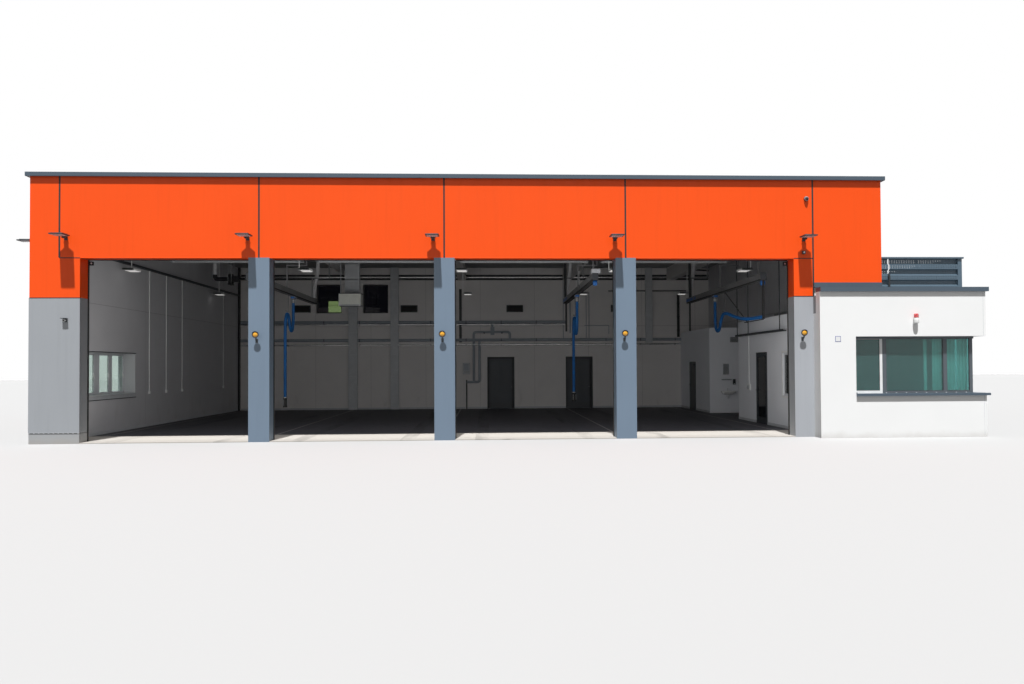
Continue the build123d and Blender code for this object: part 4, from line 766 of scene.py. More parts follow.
class STATION_OT_stage(bpy.types.Operator):
    """Pale floor, soft light and the camera of the photograph"""

    bl_idname = "station.stage"
    bl_label = "Stage"

    def execute(self, context):
        ground = Finish("stage_floor", (0.5, 0.5, 0.5), 0.9)
        ground.set("Base Color", ground.mix(ground.seen(), (0.12, 0.12, 0.12), (0.5, 0.5, 0.5)))
        plate = bpy.data.meshes.new("stage_floor")
        reach = 150
        corners = [(x * reach, y * reach, -0.002) for x, y in ((-1, -1), (1, -1), (1, 1), (-1, 1))]
        plate.from_pydata(corners, [], [(0, 1, 2, 3)])
        plate.materials.append(ground.material)
        link_new("stage_floor", plate)
        self.sky(context)
        self.lamp("main_light", 5.05, 1.3, 64, 5)
        self.lamp("fill_light", 0.2, 60, 14, 14)
        self.glow(155)
        self.camera(context)
        context.scene.view_settings.view_transform = "Standard"
        return {"FINISHED"}

    def sky(self, context):
        """White as seen, dimmer as light, so that shadows keep their depth."""
        world = bpy.data.worlds.new("soft_sky")
        context.scene.world = world
        world.use_nodes = True
        nodes = Nodes(world.node_tree)
        levels = {"Value": nodes.seen(), "To Min": 0.22, "To Max": 1.0}
        strength = nodes.add("ShaderNodeMapRange", None, levels)
        back = world.node_tree.nodes["Background"]
        nodes.link((1, 1, 1), back.inputs["Color"])
        nodes.link(strength, back.inputs["Strength"])

    def lamp(self, name, power, width, height, turn):
        """A distant lamp of some angular width, at a height and a turn in degrees."""
        sun = bpy.data.lights.new(name, "SUN")
        sun.energy = power
        sun.angle = math.radians(width)
        lamp = link_new(name, sun)
        lamp.rotation_mode = "QUATERNION"
        lamp.rotation_quaternion = heading(math.radians(turn), -math.radians(height)).to_track_quat("-Z", "Y")

    def glow(self, power):
        """Soft lamp in the bay openings that lights the hall from the front and is itself unseen."""
        panel = bpy.data.lights.new("hall_light", "AREA")
        panel.shape = "RECTANGLE"
        panel.size = 2 * BAY - PIER_RIGHT
        panel.size_y = SOFFIT_LINE - 0.3
        panel.energy = power
        lamp = link_new("hall_light", panel)
        lamp.location = ((2 * BAY + PIER_RIGHT) / 2, HALL_FRONT + 0.1, SOFFIT_LINE / 2)
        lamp.rotation_euler = (math.radians(90), 0, 0)
        lamp.visible_camera = False
        lamp.visible_glossy = False
        lamp.visible_transmission = False

    def camera(self, context):
        """The photograph's point of view."""
        yaw, pitch, roll = 0.0563, 0.0225, -0.0055
        ahead = heading(yaw, pitch)
        right = Vector((math.cos(yaw), -math.sin(yaw), 0))
        up = right.cross(ahead)
        across = right * math.cos(roll) + up * math.sin(roll)
        upward = -right * math.sin(roll) + up * math.cos(roll)
        view = bpy.data.cameras.new("photo_view")
        view.sensor_width = 36
        view.lens = 34.41
        view.shift_x = -0.0288
        view.shift_y = 0.0028
        view.clip_end = 500
        camera = link_new("photo_view", view)
        rows = Matrix((across, upward, -ahead)).transposed()
        camera.matrix_world = Matrix.Translation((1.0616, -25.2348, 1.8468)) @ rows.to_4x4()
        context.scene.camera = camera


def heading(yaw, pitch):
    """Direction of a yaw from +Y and a pitch from the level, in radians."""
    return Vector((math.sin(yaw) * math.cos(pitch), math.cos(yaw) * math.cos(pitch), math.sin(pitch)))


class STATION_OT_finishes(bpy.types.Operator):
    """Finishes of the frame's own pieces"""

    bl_idname = "station.finishes"
    bl_label = "Finishes"

    def execute(self, context):
        make_finishes(context.scene.station_colours)
        for finish, nodes in NODE_FINISHES.items():
            for node in nodes.split():
                data = NODES[node].data
                data.materials.clear()
                data.materials.append(FINISHES[finish])
        return {"FINISHED"}


def followed(points, step):
    """Even steps along one smooth line that has the points as its control points, and the line's length."""
    curve = bpy.data.curves.new("route_line", "CURVE")
    curve.dimensions = "3D"
    curve.resolution_u = 24
    spline = curve.splines.new("NURBS")
    spline.points.add(len(points) - 1)
    for target, point in zip(spline.points, points):
        target.co = (*point, 1)
    spline.order_u = 3
    spline.use_endpoint_u = True
    line = link_new("route_line", curve)
    bpy.context.view_layer.update()
    graph = bpy.context.evaluated_depsgraph_get()
    shape = bpy.data.meshes.new_from_object(line.evaluated_get(graph), depsgraph=graph)
    marks = [vertex.co.copy() for vertex in shape.vertices]
    bpy.data.objects.remove(line)
    bpy.data.curves.remove(curve)
    bpy.data.meshes.remove(shape)
    lengths = [0.0]
    for near, far in zip(marks, marks[1:]):
        lengths.append(lengths[-1] + (far - near).length)
    count = round(lengths[-1] / step)
    even = []
    i = 0
    for k in range(count + 1):
        along = lengths[-1] * k / count
        while i < len(marks) - 2 and lengths[i + 1] < along:
            i += 1
        part = (along - lengths[i]) / (lengths[i + 1] - lengths[i])
        even.append(marks[i].lerp(marks[i + 1], part))
    return even, lengths[-1]


class STATION_OT_hoses(bpy.types.Operator):
    """Ribbed exhaust hoses that hang from their trolleys"""

    bl_idname = "station.hoses"
    bl_label = "Exhaust hoses"

    def execute(self, context):
        for name, route in HOSES.items():
            low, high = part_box(name)
            x = (low.x + high.x) / 2
            points = [(x, FACADE + y, z) for y, z in route]
            path, length = followed(points, 0.0075)
            hose = Mould().use("hose").ribbed(path, HOSE_R * 0.9, HOSE_R, 4)
            hose = hose.piece(name + "_ribbed", instead=[name])
        return {"FINISHED"}


class STATION_OT_cladding(bpy.types.Operator):
    """Joint backings, coping straps and beads, door seals and the ventilation strip"""

    bl_idname = "station.cladding"
    bl_label = "Cladding details"

    def execute(self, context):
        self.joints(context.scene.station_sizes.joint_width / 2)
        self.coping()
        self.seals()
        self.vent()
        return {"FINISHED"}

    def joints(self, half):
        """Black backing strips in the joints of the cassettes, and the folded edge of the fascia."""
        grey_top, proud, deep = 3.64, 0.0015, 0.03
        strips = Mould().use("rubber")
        feet = [(x, SOFFIT_LINE) for x in (LEFT + 0.72, *LINES)]
        for x, foot in feet + [(END_JOINT, grey_top)]:
            strips.box(x - half, x + half, FACADE - proud, FACADE + deep, foot, PARAPET)
        for z, a, b in ((SOFFIT_LINE, LEFT + 0.72, PIER_RIGHT), (grey_top, LEFT, PIER_RIGHT),
                        (SOFFIT_LINE, LAST_EDGE, END_JOINT), (grey_top + 0.012, LAST_EDGE, END_JOINT)):
            strips.box(a, b, FACADE - proud, FACADE + deep, z - 0.022, z)
        start, end = FACADE + 0.032, BACK_OUT - 0.032
        for k in range(1, 4):
            y = start + (end - start) * k / 4
            for a, b in ((LEFT - proud, LEFT + deep), (RIGHT - deep, RIGHT + proud)):
                strips.box(a, b, y - half, y + half, SOFFIT_LINE, PARAPET)
        for k in range(1, 5):
            x = LEFT + (RIGHT - LEFT) * k / 5
            strips.box(x - half, x + half, BACK_OUT - deep, BACK_OUT + proud, SOFFIT_LINE, PARAPET)
        under = (SOFFIT_LINE - 0.012, SOFFIT_LINE)
        strips.boxes((LEFT + 0.014, LEFT + deep, start, BACK_OUT - deep, *under),
                     (LEFT + deep, RIGHT - deep, BACK_OUT - deep, BACK_OUT - 0.014, *under),
                     (RIGHT - deep, RIGHT - 0.014, start, BACK_OUT - deep, *under))
        strips.piece("cassette_joints")
        folds = Mould().use("orange sheet")
        for a, b in BAY_EDGES:
            folds.box(a, b, FACADE - 0.004, FACADE + 0.028, SOFFIT_LINE - 0.018, SOFFIT_LINE)
        folds.piece("fascia_drip_edge", edge=0.003)

    def coping(self):
        """Bead under the coping's edge and straps over its joints."""
        bead = Mould().use("coping")
        out = 0.083
        xs, ys, z = (LEFT - out, RIGHT + out), (FACADE - out, BACK_OUT + out), PARAPET - 0.004
        ring = [(xs[0], ys[0], z), (xs[1], ys[0], z), (xs[1], ys[1], z), (xs[0], ys[1], z)]
        for k in range(4):
            bead.tube([ring[k], ring[(k + 1) % 4]], 0.007, 10)
        bead.piece("coping_bead")
        for name, x, y, count, step, thick, deep in (
            ("front", LEFT + 1.5, FACADE - 0.0915, 8, (2.7, 0, 0), 0.09, 0.002),
            ("back", LEFT + 1.5, BACK_OUT + 0.0885, 8, (2.7, 0, 0), 0.09, 0.0015),
            ("left", LEFT - 0.0915, FACADE + 1.6, 7, (0, 2.7, 0), 0.002, 0.09),
            ("right", RIGHT + 0.0895, FACADE + 1.6, 7, (0, 2.7, 0), 0.002, 0.09),
        ):
            strap = Mould().box(0, thick, 0, deep, 0, 0.093)
            lay_out("coping_straps_" + name, strap, "coping", (x, y, PARAPET + 0.001), count, step)

    def seals(self):
        """Rubber door seals up the inner sides of the bays and along their heads, with their end blocks."""
        seal = Mould().use("rubber")
        depth = (HALL_FRONT - 0.07, HALL_FRONT - 0.002)
        head = SOFFIT_LINE - 0.02
        for a, b in BAY_EDGES:
            seal.boxes((a, a + 0.018, *depth, 0.0, head), (b - 0.018, b, *depth, 0.0, head),
                       (a + 0.02, b - 0.02, *depth, head, SOFFIT_LINE))
        seal.boxes((PIER_RIGHT - 0.01, PIER_RIGHT + 0.1, HALL_FRONT - 0.004, HALL_FRONT + 0.07, 4.5, 4.6),
                   (LAST_EDGE - 0.1, LAST_EDGE + 0.01, HALL_FRONT - 0.004, HALL_FRONT + 0.07, 4.5, 4.6))
        seal.use("lamp lens")
        for x in (PIER_RIGHT + 0.06, LAST_EDGE - 0.06):
            seal.turned([(0, 0.024), (0.008, 0.022), (0.013, 0.012)], (x, HALL_FRONT - 0.004, 4.55), OUT, 16)
        seal.piece("bay_seals", edge=0.004)

    def vent(self):
        """Fine slots of the ventilation strip over the plinth."""
        y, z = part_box("pier_plinth")[0].y - 0.0008, 0.256
        slot = Mould().box(0, 0.085, 0, 0.001, 0, 0.013)
        lay_out("vent_slots_front", slot, "rubber", (LEFT + 0.03, y, z), 10, (0.1185, 0, 0))
        slot = Mould().box(0, 0.001, 0, 0.085, 0, 0.013)
        lay_out("vent_slots_left", slot, "rubber", (LEFT - 0.0008, FACADE + 0.05, z), 150, (0, 0.12, 0))


class STATION_OT_fittings(bpy.types.Operator):
    """Floodlights, warning beacons, alarm lamp, cameras and sensor"""

    bl_idname = "station.fittings"
    bl_label = "Outside fittings"

    def execute(self, context):
        self.floodlights()
        self.beacons()
        self.alarm()
        self.cameras()
        return {"FINISHED"}

    def floodlights(self):
        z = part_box("floodlights")[0].z + 0.07
        places = [(PIER_RIGHT - 0.345, FACADE, 0)] + [(line - 0.28, FACADE, 0) for line in LINES]
        places += [(2 * BAY + 0.01, FACADE, 0), (LEFT, FACADE + 0.8, -90)]
        half = [(0.055, -0.1), (0.055, -0.14), (0.17, -0.19), (0.17, -0.61), (0.155, -0.625)]
        outline = half + [(-a, b) for a, b in reversed(half)]
        lamp = Mould()
        for x, y, turn in places:
            lamp.move(x, y, z, turn).use("dark frame")
            lamp.boxes((-0.045, 0.045, -0.012, 0, -0.07, 0.07), (-0.02, 0.02, -0.06, -0.012, -0.02, 0.02))
            lamp.prism(outline, (0, 0, 0.006), ACROSS, DEEP, 0.028)
            lamp.pair(0.038, 0.05, -0.15, -0.03, -0.028, 0.034)
            lamp.disc(0.03, 0.1, (-0.05, -0.065, 0), ACROSS, 20)
            for side in (-1, 1):
                lamp.disc(0.016, 0.008, (side * 0.055, -0.065, 0), (side, 0, 0), 6)
            for k in range(12):
                fin = k * 0.024 - 0.132
                lamp.box(fin - 0.0025, fin + 0.0025, -0.57, -0.24, 0.034, 0.05)
            lamp.use("grey frame").box(-0.148, 0.148, -0.605, -0.235, 0.001, 0.006)
            lamp.use("lamp lens")
            for k in range(35):
                at = (k // 7 * 0.056 - 0.112, k % 7 * 0.053 - 0.58, 0.001)
                lamp.turned([(0, 0.018), (0.004, 0.015), (0.006, 0.008)], at, DOWN, 10)
            lamp.use("rubber")
            lamp.tube([(0.03, -0.075, 0.045), (0.03, -0.03, 0.05), (0.03, -0.004, 0.09)], 0.006, 8, 0.03)
            for u, v in ((-0.03, -0.05), (-0.03, 0.05), (0.03, -0.05), (0.03, 0.05)):
                lamp.disc(0.008, 0.006, (u, -0.012, v), OUT, 6)
        lamp.piece("floodlight_set", edge=0.002, instead=["floodlights"], segments=1)

    def beacons(self):
        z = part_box("warning_beacons")[1].z - 0.08
        lamp = Mould()
        for line in (*LINES, 2 * BAY):
            lamp.move(line - 0.05, FACADE, z).use("black plastic")
            lamp.turned([(0, 0.03), (0.008, 0.06), (0.022, 0.078), (0.04, 0.084), (0.05, 0.084),
                         (0.05, 0.07)], (0, -0.12, 0), OUT, 36)
            lamp.prism(arc(0.08, 0.086, 25, 155, 14), (0, -0.195, 0), ACROSS, UP, -0.04)
            lamp.use("amber lens")
            lamp.turned([(0, 0.068), (0.012, 0.066), (0.024, 0.056), (0.033, 0.038), (0.038, 0.014),
                         (0.039, 0.004)], (0, -0.152, 0), OUT, 32)
            lamp.use("dark frame").box(-0.032, 0.032, -0.008, 0, -0.2, -0.1)
            lamp.tube([(0, -0.004, -0.15), (0, -0.1, -0.15), (0, -0.128, -0.05)], 0.014, 14, 0.05)
            for v in (-0.185, -0.115):
                lamp.turned([(0, 0.007), (0.004, 0.006)], (0, -0.008, v), OUT, 12)
            lamp.tube([(0.02, -0.12, -0.05), (0.024, -0.1, -0.12), (0.024, -0.006, -0.17)], 0.004, 8, 0.02)
        lamp.piece("beacon_set", edge=0.0015, instead=["warning_beacons"], segments=1)

    def alarm(self):
        low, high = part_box("alarm_lamp")
        radius = 0.067
        y = low.y + radius
        wall = ANNEX_FRONT - y
        lamp = Mould().move((low.x + high.x) / 2, y, low.z).use("white plastic")
        lamp.turned([(0, 0.052), (0.012, 0.064), (0.03, radius), (0.125, radius), (0.135, 0.062),
                     (0.143, 0.062)], HERE, UP, 40)
        lamp.boxes((-0.033, 0.033, 0.05, wall - 0.008, 0.035, radius),
                   (-0.045, 0.045, wall - 0.008, wall, 0.005, 0.1))
        lamp.use("black plastic").disc(0.0625, 0.006, (0, 0, 0.14), UP, 40)
        for k in range(10):
            turn = math.tau * k / 10
            out = (math.cos(turn), math.sin(turn), 0)
            lamp.disc(0.005, 0.002, (out[0] * 0.0665, out[1] * 0.0665, 0.075), out, 8)
        ribs = [(0, 0.059)]
        for k in range(8):
            ribs += [(0.006 + k * 0.01, 0.061), (0.011 + k * 0.01, 0.058)]
        ribs += [(0.092, 0.055), (0.1, 0.045), (0.104, 0.03), (0.106, 0.006)]
        lamp.use("red lens").turned(ribs, (0, 0, 0.145), UP, 40)
        lamp.piece("alarm_lamp_body", instead=["alarm_lamp"])

    def cameras(self):
        tilt = (0, -1, -0.15)
        eye = Mould().move(PIER_RIGHT - 0.355, FACADE, 3.05).use("dark frame")
        eye.boxes((-0.04, 0.04, -0.02, 0, -0.02, 0.075), (-0.07, 0.07, -0.13, -0.01, 0.06, 0.075))
        barrel = [(0, 0.02), (0.006, 0.032), (0.05, 0.034), (0.075, 0.033), (0.08, 0.028)]
        eye.use("white plastic").turned(barrel, (0, -0.02, 0.022), tilt, 20)
        eye.use("black plastic").turned([(0, 0.022), (0.003, 0.021)], (0, -0.0991, 0.0101), tilt, 20)
        eye.move(2 * BAY + 0.085, FACADE, 6.18)
        for finish, y, profile in (
            ("dark frame", 0, [(0, 0.062), (0.024, 0.062), (0.03, 0.058)]),
            ("grey frame", -0.03, [(0, 0.057), (0.03, 0.056), (0.036, 0.05)]),
            ("black plastic", -0.066,
             [(0, 0.044), (0.014, 0.042), (0.028, 0.034), (0.038, 0.022), (0.043, 0.006)]),
        ):
            eye.use(finish).turned(profile, (0, y, 0), OUT, 32)
        eye.move(2 * BAY, FACADE, 4.78).use("dark frame")
        eye.boxes((-0.04, 0.04, -0.05, 0, -0.04, 0.04), (-0.04, 0.04, -0.07, -0.05, -0.03, 0.04))
        eye.use("lamp lens").turned([(0, 0.024), (0.01, 0.02), (0.016, 0.01)], (0, -0.07, 0),
                                    (0, -1, -0.3), 16)
        eye.piece("camera_set", edge=0.0015, instead=["wall_fittings"], segments=1)


class STATION_OT_bay_doors(bpy.types.Operator):
    """Hinges, rollers, end blocks, seals and brackets of the raised bay doors"""

    bl_idname = "station.bay_doors"
    bl_label = "Bay doors"

    def execute(self, context):
        low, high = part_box("sectional_doors")
        track_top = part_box("door_tracks")[1].z
        rear = HALL_FRONT + 6.7
        length = 4.7
        step = length / 8
        metal, rubber, blocks = (Mould().use(finish) for finish in ("zinc", "rubber", "white plastic"))
        for a, b in BAY_EDGES:
            left, right = a - 0.01, b + 0.01
            wide = right - left
            for i in range(1, 8):
                y = DOOR_SET + i * step - 0.002
                for k in range(6):
                    x = left + 0.05 + (wide - 0.1) * k / 5
                    metal.box(x - 0.03, x + 0.03, y - 0.06, y + 0.06, high.z, high.z + 0.004)
                    metal.tube([(x - 0.032, y, high.z + 0.007), (x + 0.032, y, high.z + 0.007)], 0.007, 8)
                rubber.box(left, right, y - 0.006, y + 0.006, low.z + 0.004, low.z + 0.012)
            for i in range(9):
                y, z = DOOR_SET + min(i * step, 4.69), low.z + 0.036
                for x, side in ((left, -1), (right, 1)):
                    near, far = sorted((x - side * 0.02, x + side * 0.03))
                    metal.tube([(near, y, z), (far, y, z)], 0.006, 8)
                    blocks.disc(0.02, 0.014, (x + side * 0.012, y, z), (side, 0, 0))
            for y in (DOOR_SET - 0.012, DOOR_SET + length - 0.004):
                rubber.box(left, right, y, y + 0.012, low.z - 0.008, high.z)
            for k in range(3):
                x = left + wide * (k + 0.5) / 3
                metal.box(x - 0.025, x + 0.025, DOOR_SET + 0.02, DOOR_SET + 4.66,
                          high.z + 0.004, high.z + 0.03)
            for x in (left - 0.02, right + 0.02):
                blocks.box(x - 0.05, x + 0.05, rear - 0.005, rear + 0.065, track_top - 0.1, track_top + 0.01)
                blocks.box(x - 0.035, x + 0.035, rear - 0.14, rear - 0.005,
                           track_top - 0.085, track_top - 0.005)
            shaft = (rear + 0.03, track_top + 0.03)
            metal.tube([(left, *shaft), (right, *shaft)], 0.016, 12)
            for k in range(2):
                x = left + wide * (k + 1) / 3
                metal.tube([(x - 0.5, *shaft), (x + 0.5, *shaft)], 0.045, 16)
                metal.box(x - 0.55, x - 0.53, rear - 0.03, rear + 0.09, track_top - 0.04, track_top + 0.09)
            for x in (left - 0.0203, right + 0.0203):
                for k in range(5):
                    z = 0.5 + k * 0.95
                    metal.box(x - 0.028, x + 0.028, HALL_FRONT, HALL_FRONT + 0.06, z, z + 0.05)
                    metal.disc(0.011, 0.008, (x, HALL_FRONT + 0.07, z + 0.025), DEEP, 6)
        metal.piece("bay_door_ironwork")
        rubber.piece("bay_door_seals")
        blocks.piece("bay_door_blocks", edge=0.003, segments=1)
        return {"FINISHED"}


class STATION_OT_rails(bpy.types.Operator):
    """Lips, end stops, splices and trolleys of the exhaust rails, with the hose clamps"""

    bl_idname = "station.rails"
    bl_label = "Exhaust rails"

    def execute(self, context):
        y0, y1 = RAIL
        top = CEILING - RAIL_Z
        rail = Mould()
        for line, name in ((-BAY, "left"), (BAY, "middle"), (2 * BAY, "right")):
            route = HOSES[name + "_exhaust_hose"]
            rail.move(line - RAIL_SIDE, 0, RAIL_Z).use("rubber").box(-0.024, 0.024, y0, y1, 0.012, 0.016)
            rail.pair(0.032, 0.0815, y0, y1, -0.003, 0.0005).pair(0.0795, 0.0815, y0, y1, 0.0005, 0.028)
            rail.use("aluminium").pair(0.021, 0.032, y0, y1, -0.008, 0.002)
            rail.pair(0.08, 0.088, y0, y1, 0.03, 0.042).pair(0.08, 0.088, y0, y1, 0.15, 0.162)
            for k in range(4):
                y = y0 + 2.5 * k + 1.2
                rail.box(-0.092, 0.092, y - 0.09, y + 0.09, 0.05, 0.14)
            rail.use("dark frame")
            for y in (y0 - 0.006, y1 - 0.002):
                rail.box(-0.084, 0.084, y, y + 0.008, -0.004, 0.196)
            if name != "left":
                rail.use("blue plastic").pair(0.0795, 0.09, y1 - 1.6, y1, 0.045, 0.148)
                rail.turned([(0, 0.06), (0.012, 0.075), (0.1, 0.075), (0.112, 0.06)],
                            (-0.056, y0 + 0.09, -0.074), ACROSS, 28)
                rail.use("black plastic").tube([(0, y1 - 0.22, 3.16 - RAIL_Z), (0, y1 - 0.22, 0)], 0.035, 14)
                rail.tube([(-0.05, y1 - 0.48, 0.19), (-0.05, y1 - 0.48, top)], 0.045, 14)
            duct, _ = followed(on_wall(y1 - 0.2, (0, 0.19), (0.02, 0.6), (0.16, 1.1), (0.18, top)), 0.0125)
            rail.use("foil").ribbed(duct, 0.062, 0.075, 4, 16)
            rail.use("zinc").disc(0.082, 0.03, (0, y1 - 0.2, 0.19), UP, 20)
            rail.disc(0.095, 0.03, (0.18, y1 - 0.2, top - 0.03), UP, 20)
            y = FACADE + route[0][0]
            rail.use("blue plastic").box(-0.063, 0.063, y - 0.14, y + 0.14, -0.078, -0.018)
            rail.use("zinc")
            for side, end in ((-1, -1), (-1, 1), (1, -1), (1, 1)):
                rail.turned([(0, 0.022), (0.014, 0.022), (0.016, 0.014)],
                            (side * 0.061, y + end * 0.09, -0.04), (side, 0, 0), 18)
            for z in (-0.2, -0.155):
                rail.turned([(0, 0.062), (0.002, 0.066), (0.014, 0.066), (0.016, 0.062)], (0, y, z), UP, 32)
                rail.box(0.058, 0.086, y - 0.012, y + 0.012, z - 0.002, z + 0.018)
            y, z = route[8][0] + FACADE, route[8][1] - RAIL_Z
            turns = [math.tau * k / 20 for k in range(21)]
            ring = [(0, y + 0.058 * math.cos(turn), z - 0.01 + 0.058 * math.sin(turn)) for turn in turns]
            rail.tube(ring, 0.005, 8)
            rail.use("rubber").tube([(0.033, y, z + 0.08), (0.033, y, 0)], 0.009, 8)
        foot = 3.125 - RAIL_Z
        rail.move(2 * BAY - RAIL_SIDE, 0, RAIL_Z).use("black plastic")
        rail.tube([(0.08, 5.97, 0.02), (0.08, 3.25, foot)], 0.014, 10)
        rail.tube([(0.08, 3.25, foot), (0, 3.25, foot)], 0.012, 10)
        rail.tube([(0, 3.3, foot), (0, HALL_FRONT + 1.045, foot)], 0.014, 10)
        rail.move(BAY - RAIL_SIDE, 0, RAIL_Z).use("light grey coat")
        rail.box(-0.1, 0.14, y0 - 0.02, y0 + 0.24, 0.19, 0.3)
        rail.piece("exhaust_rail_details", edge=0.001, segments=1)

        profile = [(0, 0.055), (0.012, 0.062), (0.05, 0.062), (0.06, 0.056), (0.09, 0.058), (0.2, 0.063),
                   (0.3, 0.067), (0.318, 0.07), (0.33, 0.066), (0.33, 0.052), (0.24, 0.048)]
        for name in ("left", "middle"):
            low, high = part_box(name + "_hose_nozzle")
            end = Mould().move((low.x + high.x) / 2, (low.y + high.y) / 2, high.z).use("rubber")
            end.turned(profile, HERE, DOWN, 32)
            end.use("zinc").disc(0.0625, 0.014, (0, 0, -0.016), DOWN, 32)
            for k in range(3):
                turn = math.tau * k / 3
                x, y = math.cos(turn), math.sin(turn)
                end.tube([(0.066 * x, 0.066 * y, -0.1), (0.068 * x, 0.068 * y, -0.28)], 0.004, 8)
            end.piece(name + "_nozzle_cone", instead=[name + "_hose_nozzle"])
        return {"FINISHED"}


class STATION_OT_hall(bpy.types.Operator):
    """Round pipes, heater louvres, lamps and boxes on the hall's walls"""

    bl_idname = "station.hall"
    bl_label = "Hall services"

    def execute(self, context):
        run = Mould()
        self.back_wall_runs(run)
        self.back_wall_pipes(run)
        self.left_wall_runs(run)
        self.right_wall_runs(run)
        run.piece("wall_services", instead=["wall_pipes"])
        self.heater()
        self.flue()
        self.lamps()
        self.boxes()
        self.trim()
        return {"FINISHED"}

    def back_wall_runs(self, run):
        """Level pipes along the back wall with their clips, and the pipe under the ceiling with a black strip
        behind it as its painted shadow band.
        """
        start = LEFT_IN + 0.12
        clips = [LEFT_IN + 0.6 + k * 1.55 for k in range(13)]
        run.move(0, BACK)
        for z, radius, finish, stop in (
            (2.84, 0.036, "bright steel", ROOM_X), (3.05, 0.065, "grey frame", ROOM_X),
            (3.74, 0.035, "bright steel", 4.6), (3.84, 0.065, "grey frame", 4.6),
        ):
            y = -radius - 0.004
            run.use(finish)
            for a, b in clear(start, stop, DUCTS if z > 2.9 else DUCTS[:2]):
                run.tube([(a, y, z), (b, y, z)], radius, 14)
            run.use("rubber")
            for x in clips:
                if x < stop and all(not a - 0.05 < x < b + 0.05 for a, b in DUCTS):
                    run.disc(radius + 0.004, 0.02, (x, y, z), ACROSS, 14)
                    run.box(x + 0.002, x + 0.018, y, 0, z - 0.008, z + 0.008)
        girders = [(line - 0.175, line + 0.175) for line in (*LINES, 2 * BAY)]
        for a, b in clear(start, RIGHT_IN, girders + DUCTS):
            run.use("bright steel").tube(on_wall(-0.06, (a, 5.82), (b, 5.82)), 0.045, 14)
            for x in (a, b - 0.012):
                run.disc(0.055, 0.012, (x, -0.06, 5.82), ACROSS)
            # Black strip behind the pipe: painted shadow band of the pipe
            run.use("black plastic").box(a, b, -0.012, 0, 5.7, 5.94)

    def back_wall_pipes(self, run):
        """Bent and upright pipes on the back wall, with their covers and valves."""
        run.use("black plastic").tube(on_wall(-0.03, (9.48, 5.82), (10.0, 6.18), (RIGHT_IN, 6.12)), 0.032, 12)
        for a, b in clear(6.5, ROOM_X + 0.25, DUCTS[2:]):
            run.tube(on_wall(-0.03, (a, 5.215), (b, 5.215)), 0.026, 12)
        for x, foot, top in ((-0.13, 2.95, 5.3), (9.58, 3.15, 5.1)):
            run.box(x, x + 0.11, -0.06, 0, foot, top)
            for z in (foot + 0.3, foot + 0.9, foot + 1.5):
                run.box(x - 0.01, x + 0.12, -0.066, 0, z, z + 0.03)
        run.use("grey frame")
        run.tube(on_wall(-0.06, (0.51, 1.2), (0.51, 3.4), (2.1, 3.4), (2.1, 3.08)), 0.055, 18, 0.12)
        run.tube(on_wall(-0.06, (0.76, 3.03), (0.76, 1.2), (0.19, 1.2)), 0.055, 18, 0.12)
        run.tube(on_wall(-0.048, (1.33, 3.8), (1.33, 3.6)), 0.045, 16).box(1.25, 1.42, -0.09, 0, 3.27, 3.62)
        for x in (0.51, 0.76):
            for z in (1.5, 2.1, 2.7):
                run.disc(0.06, 0.02, (x, -0.06, z), UP, 18)
        for x, foot, top in ((4.48, 3.1, 5.68), (5.5, 3.1, 5.15), (5.63, 3.1, 5.15)):
            run.tube(on_wall(-0.03, (x, foot), (x, top)), 0.015, 10)
        run.tube(on_wall(-0.03, (4.78, 3.35), (4.78, 4.77)), 0.026, 12)
        run.tube(on_wall(-0.03, (5.42, 3.68), (6.51, 3.68), (6.51, 3.3)), 0.014, 10, 0.04)
        run.use("black plastic")
        for x in (0.97, 1.75):
            run.turned([(0, 0.045), (0.02, 0.05), (0.045, 0.05), (0.06, 0.03)], (x, -0.05, 3.38), OUT, 16)
        run.tube(on_wall(-0.03, (0.19, 0.02), (0.19, 1.29)), 0.028, 14)
        run.disc(0.032, 0.05, (0.19, -0.03, 1.22), UP, 6)

    def left_wall_runs(self, run):
        """Downpipe in the corner, and the cable tray along the left wall with its drops and sockets."""
        tray = 4.99
        y0, y1 = FACADE + 2.7, BACK - 0.12
        run.move(LEFT_IN).use("black plastic")
        run.tube([(0.055, BACK - 0.055, 0.02), (0.055, BACK - 0.055, CEILING)], 0.05, 20)
        for z in (0.6, 1.9, 3.2, 4.5, 5.8):
            run.disc(0.056, 0.03, (0.055, BACK - 0.055, z), UP, 20)
        run.use("dark frame").box(0, 0.11, y0, y1, tray, tray + 0.003)
        for x in (0, 0.107):
            run.box(x, x + 0.003, y0, y1, tray, tray + 0.06)
        run.use("black plastic")
        z = tray + 0.012
        for k in range(5):
            x = 0.018 + k * 0.018
            run.tube([(x, y0 + 0.02 * k, z), (x + 0.004, (y0 + y1) / 2, z), (x, y1, z)], 0.008, 6)
        run.use("white plastic")
        for y in (7.06, 8.71, 10.44, 15.89):
            y += FACADE + 0.015
            run.tube([(0.015, y, 1.1), (0.015, y, tray)], 0.013, 12)
            for k in range(4):
                run.disc(0.019, 0.014, (0.015, y, 1.5 + k * 0.95), UP, 12)
            run.box(0, 0.045, y - 0.045, y + 0.045, 1.05, 1.14)

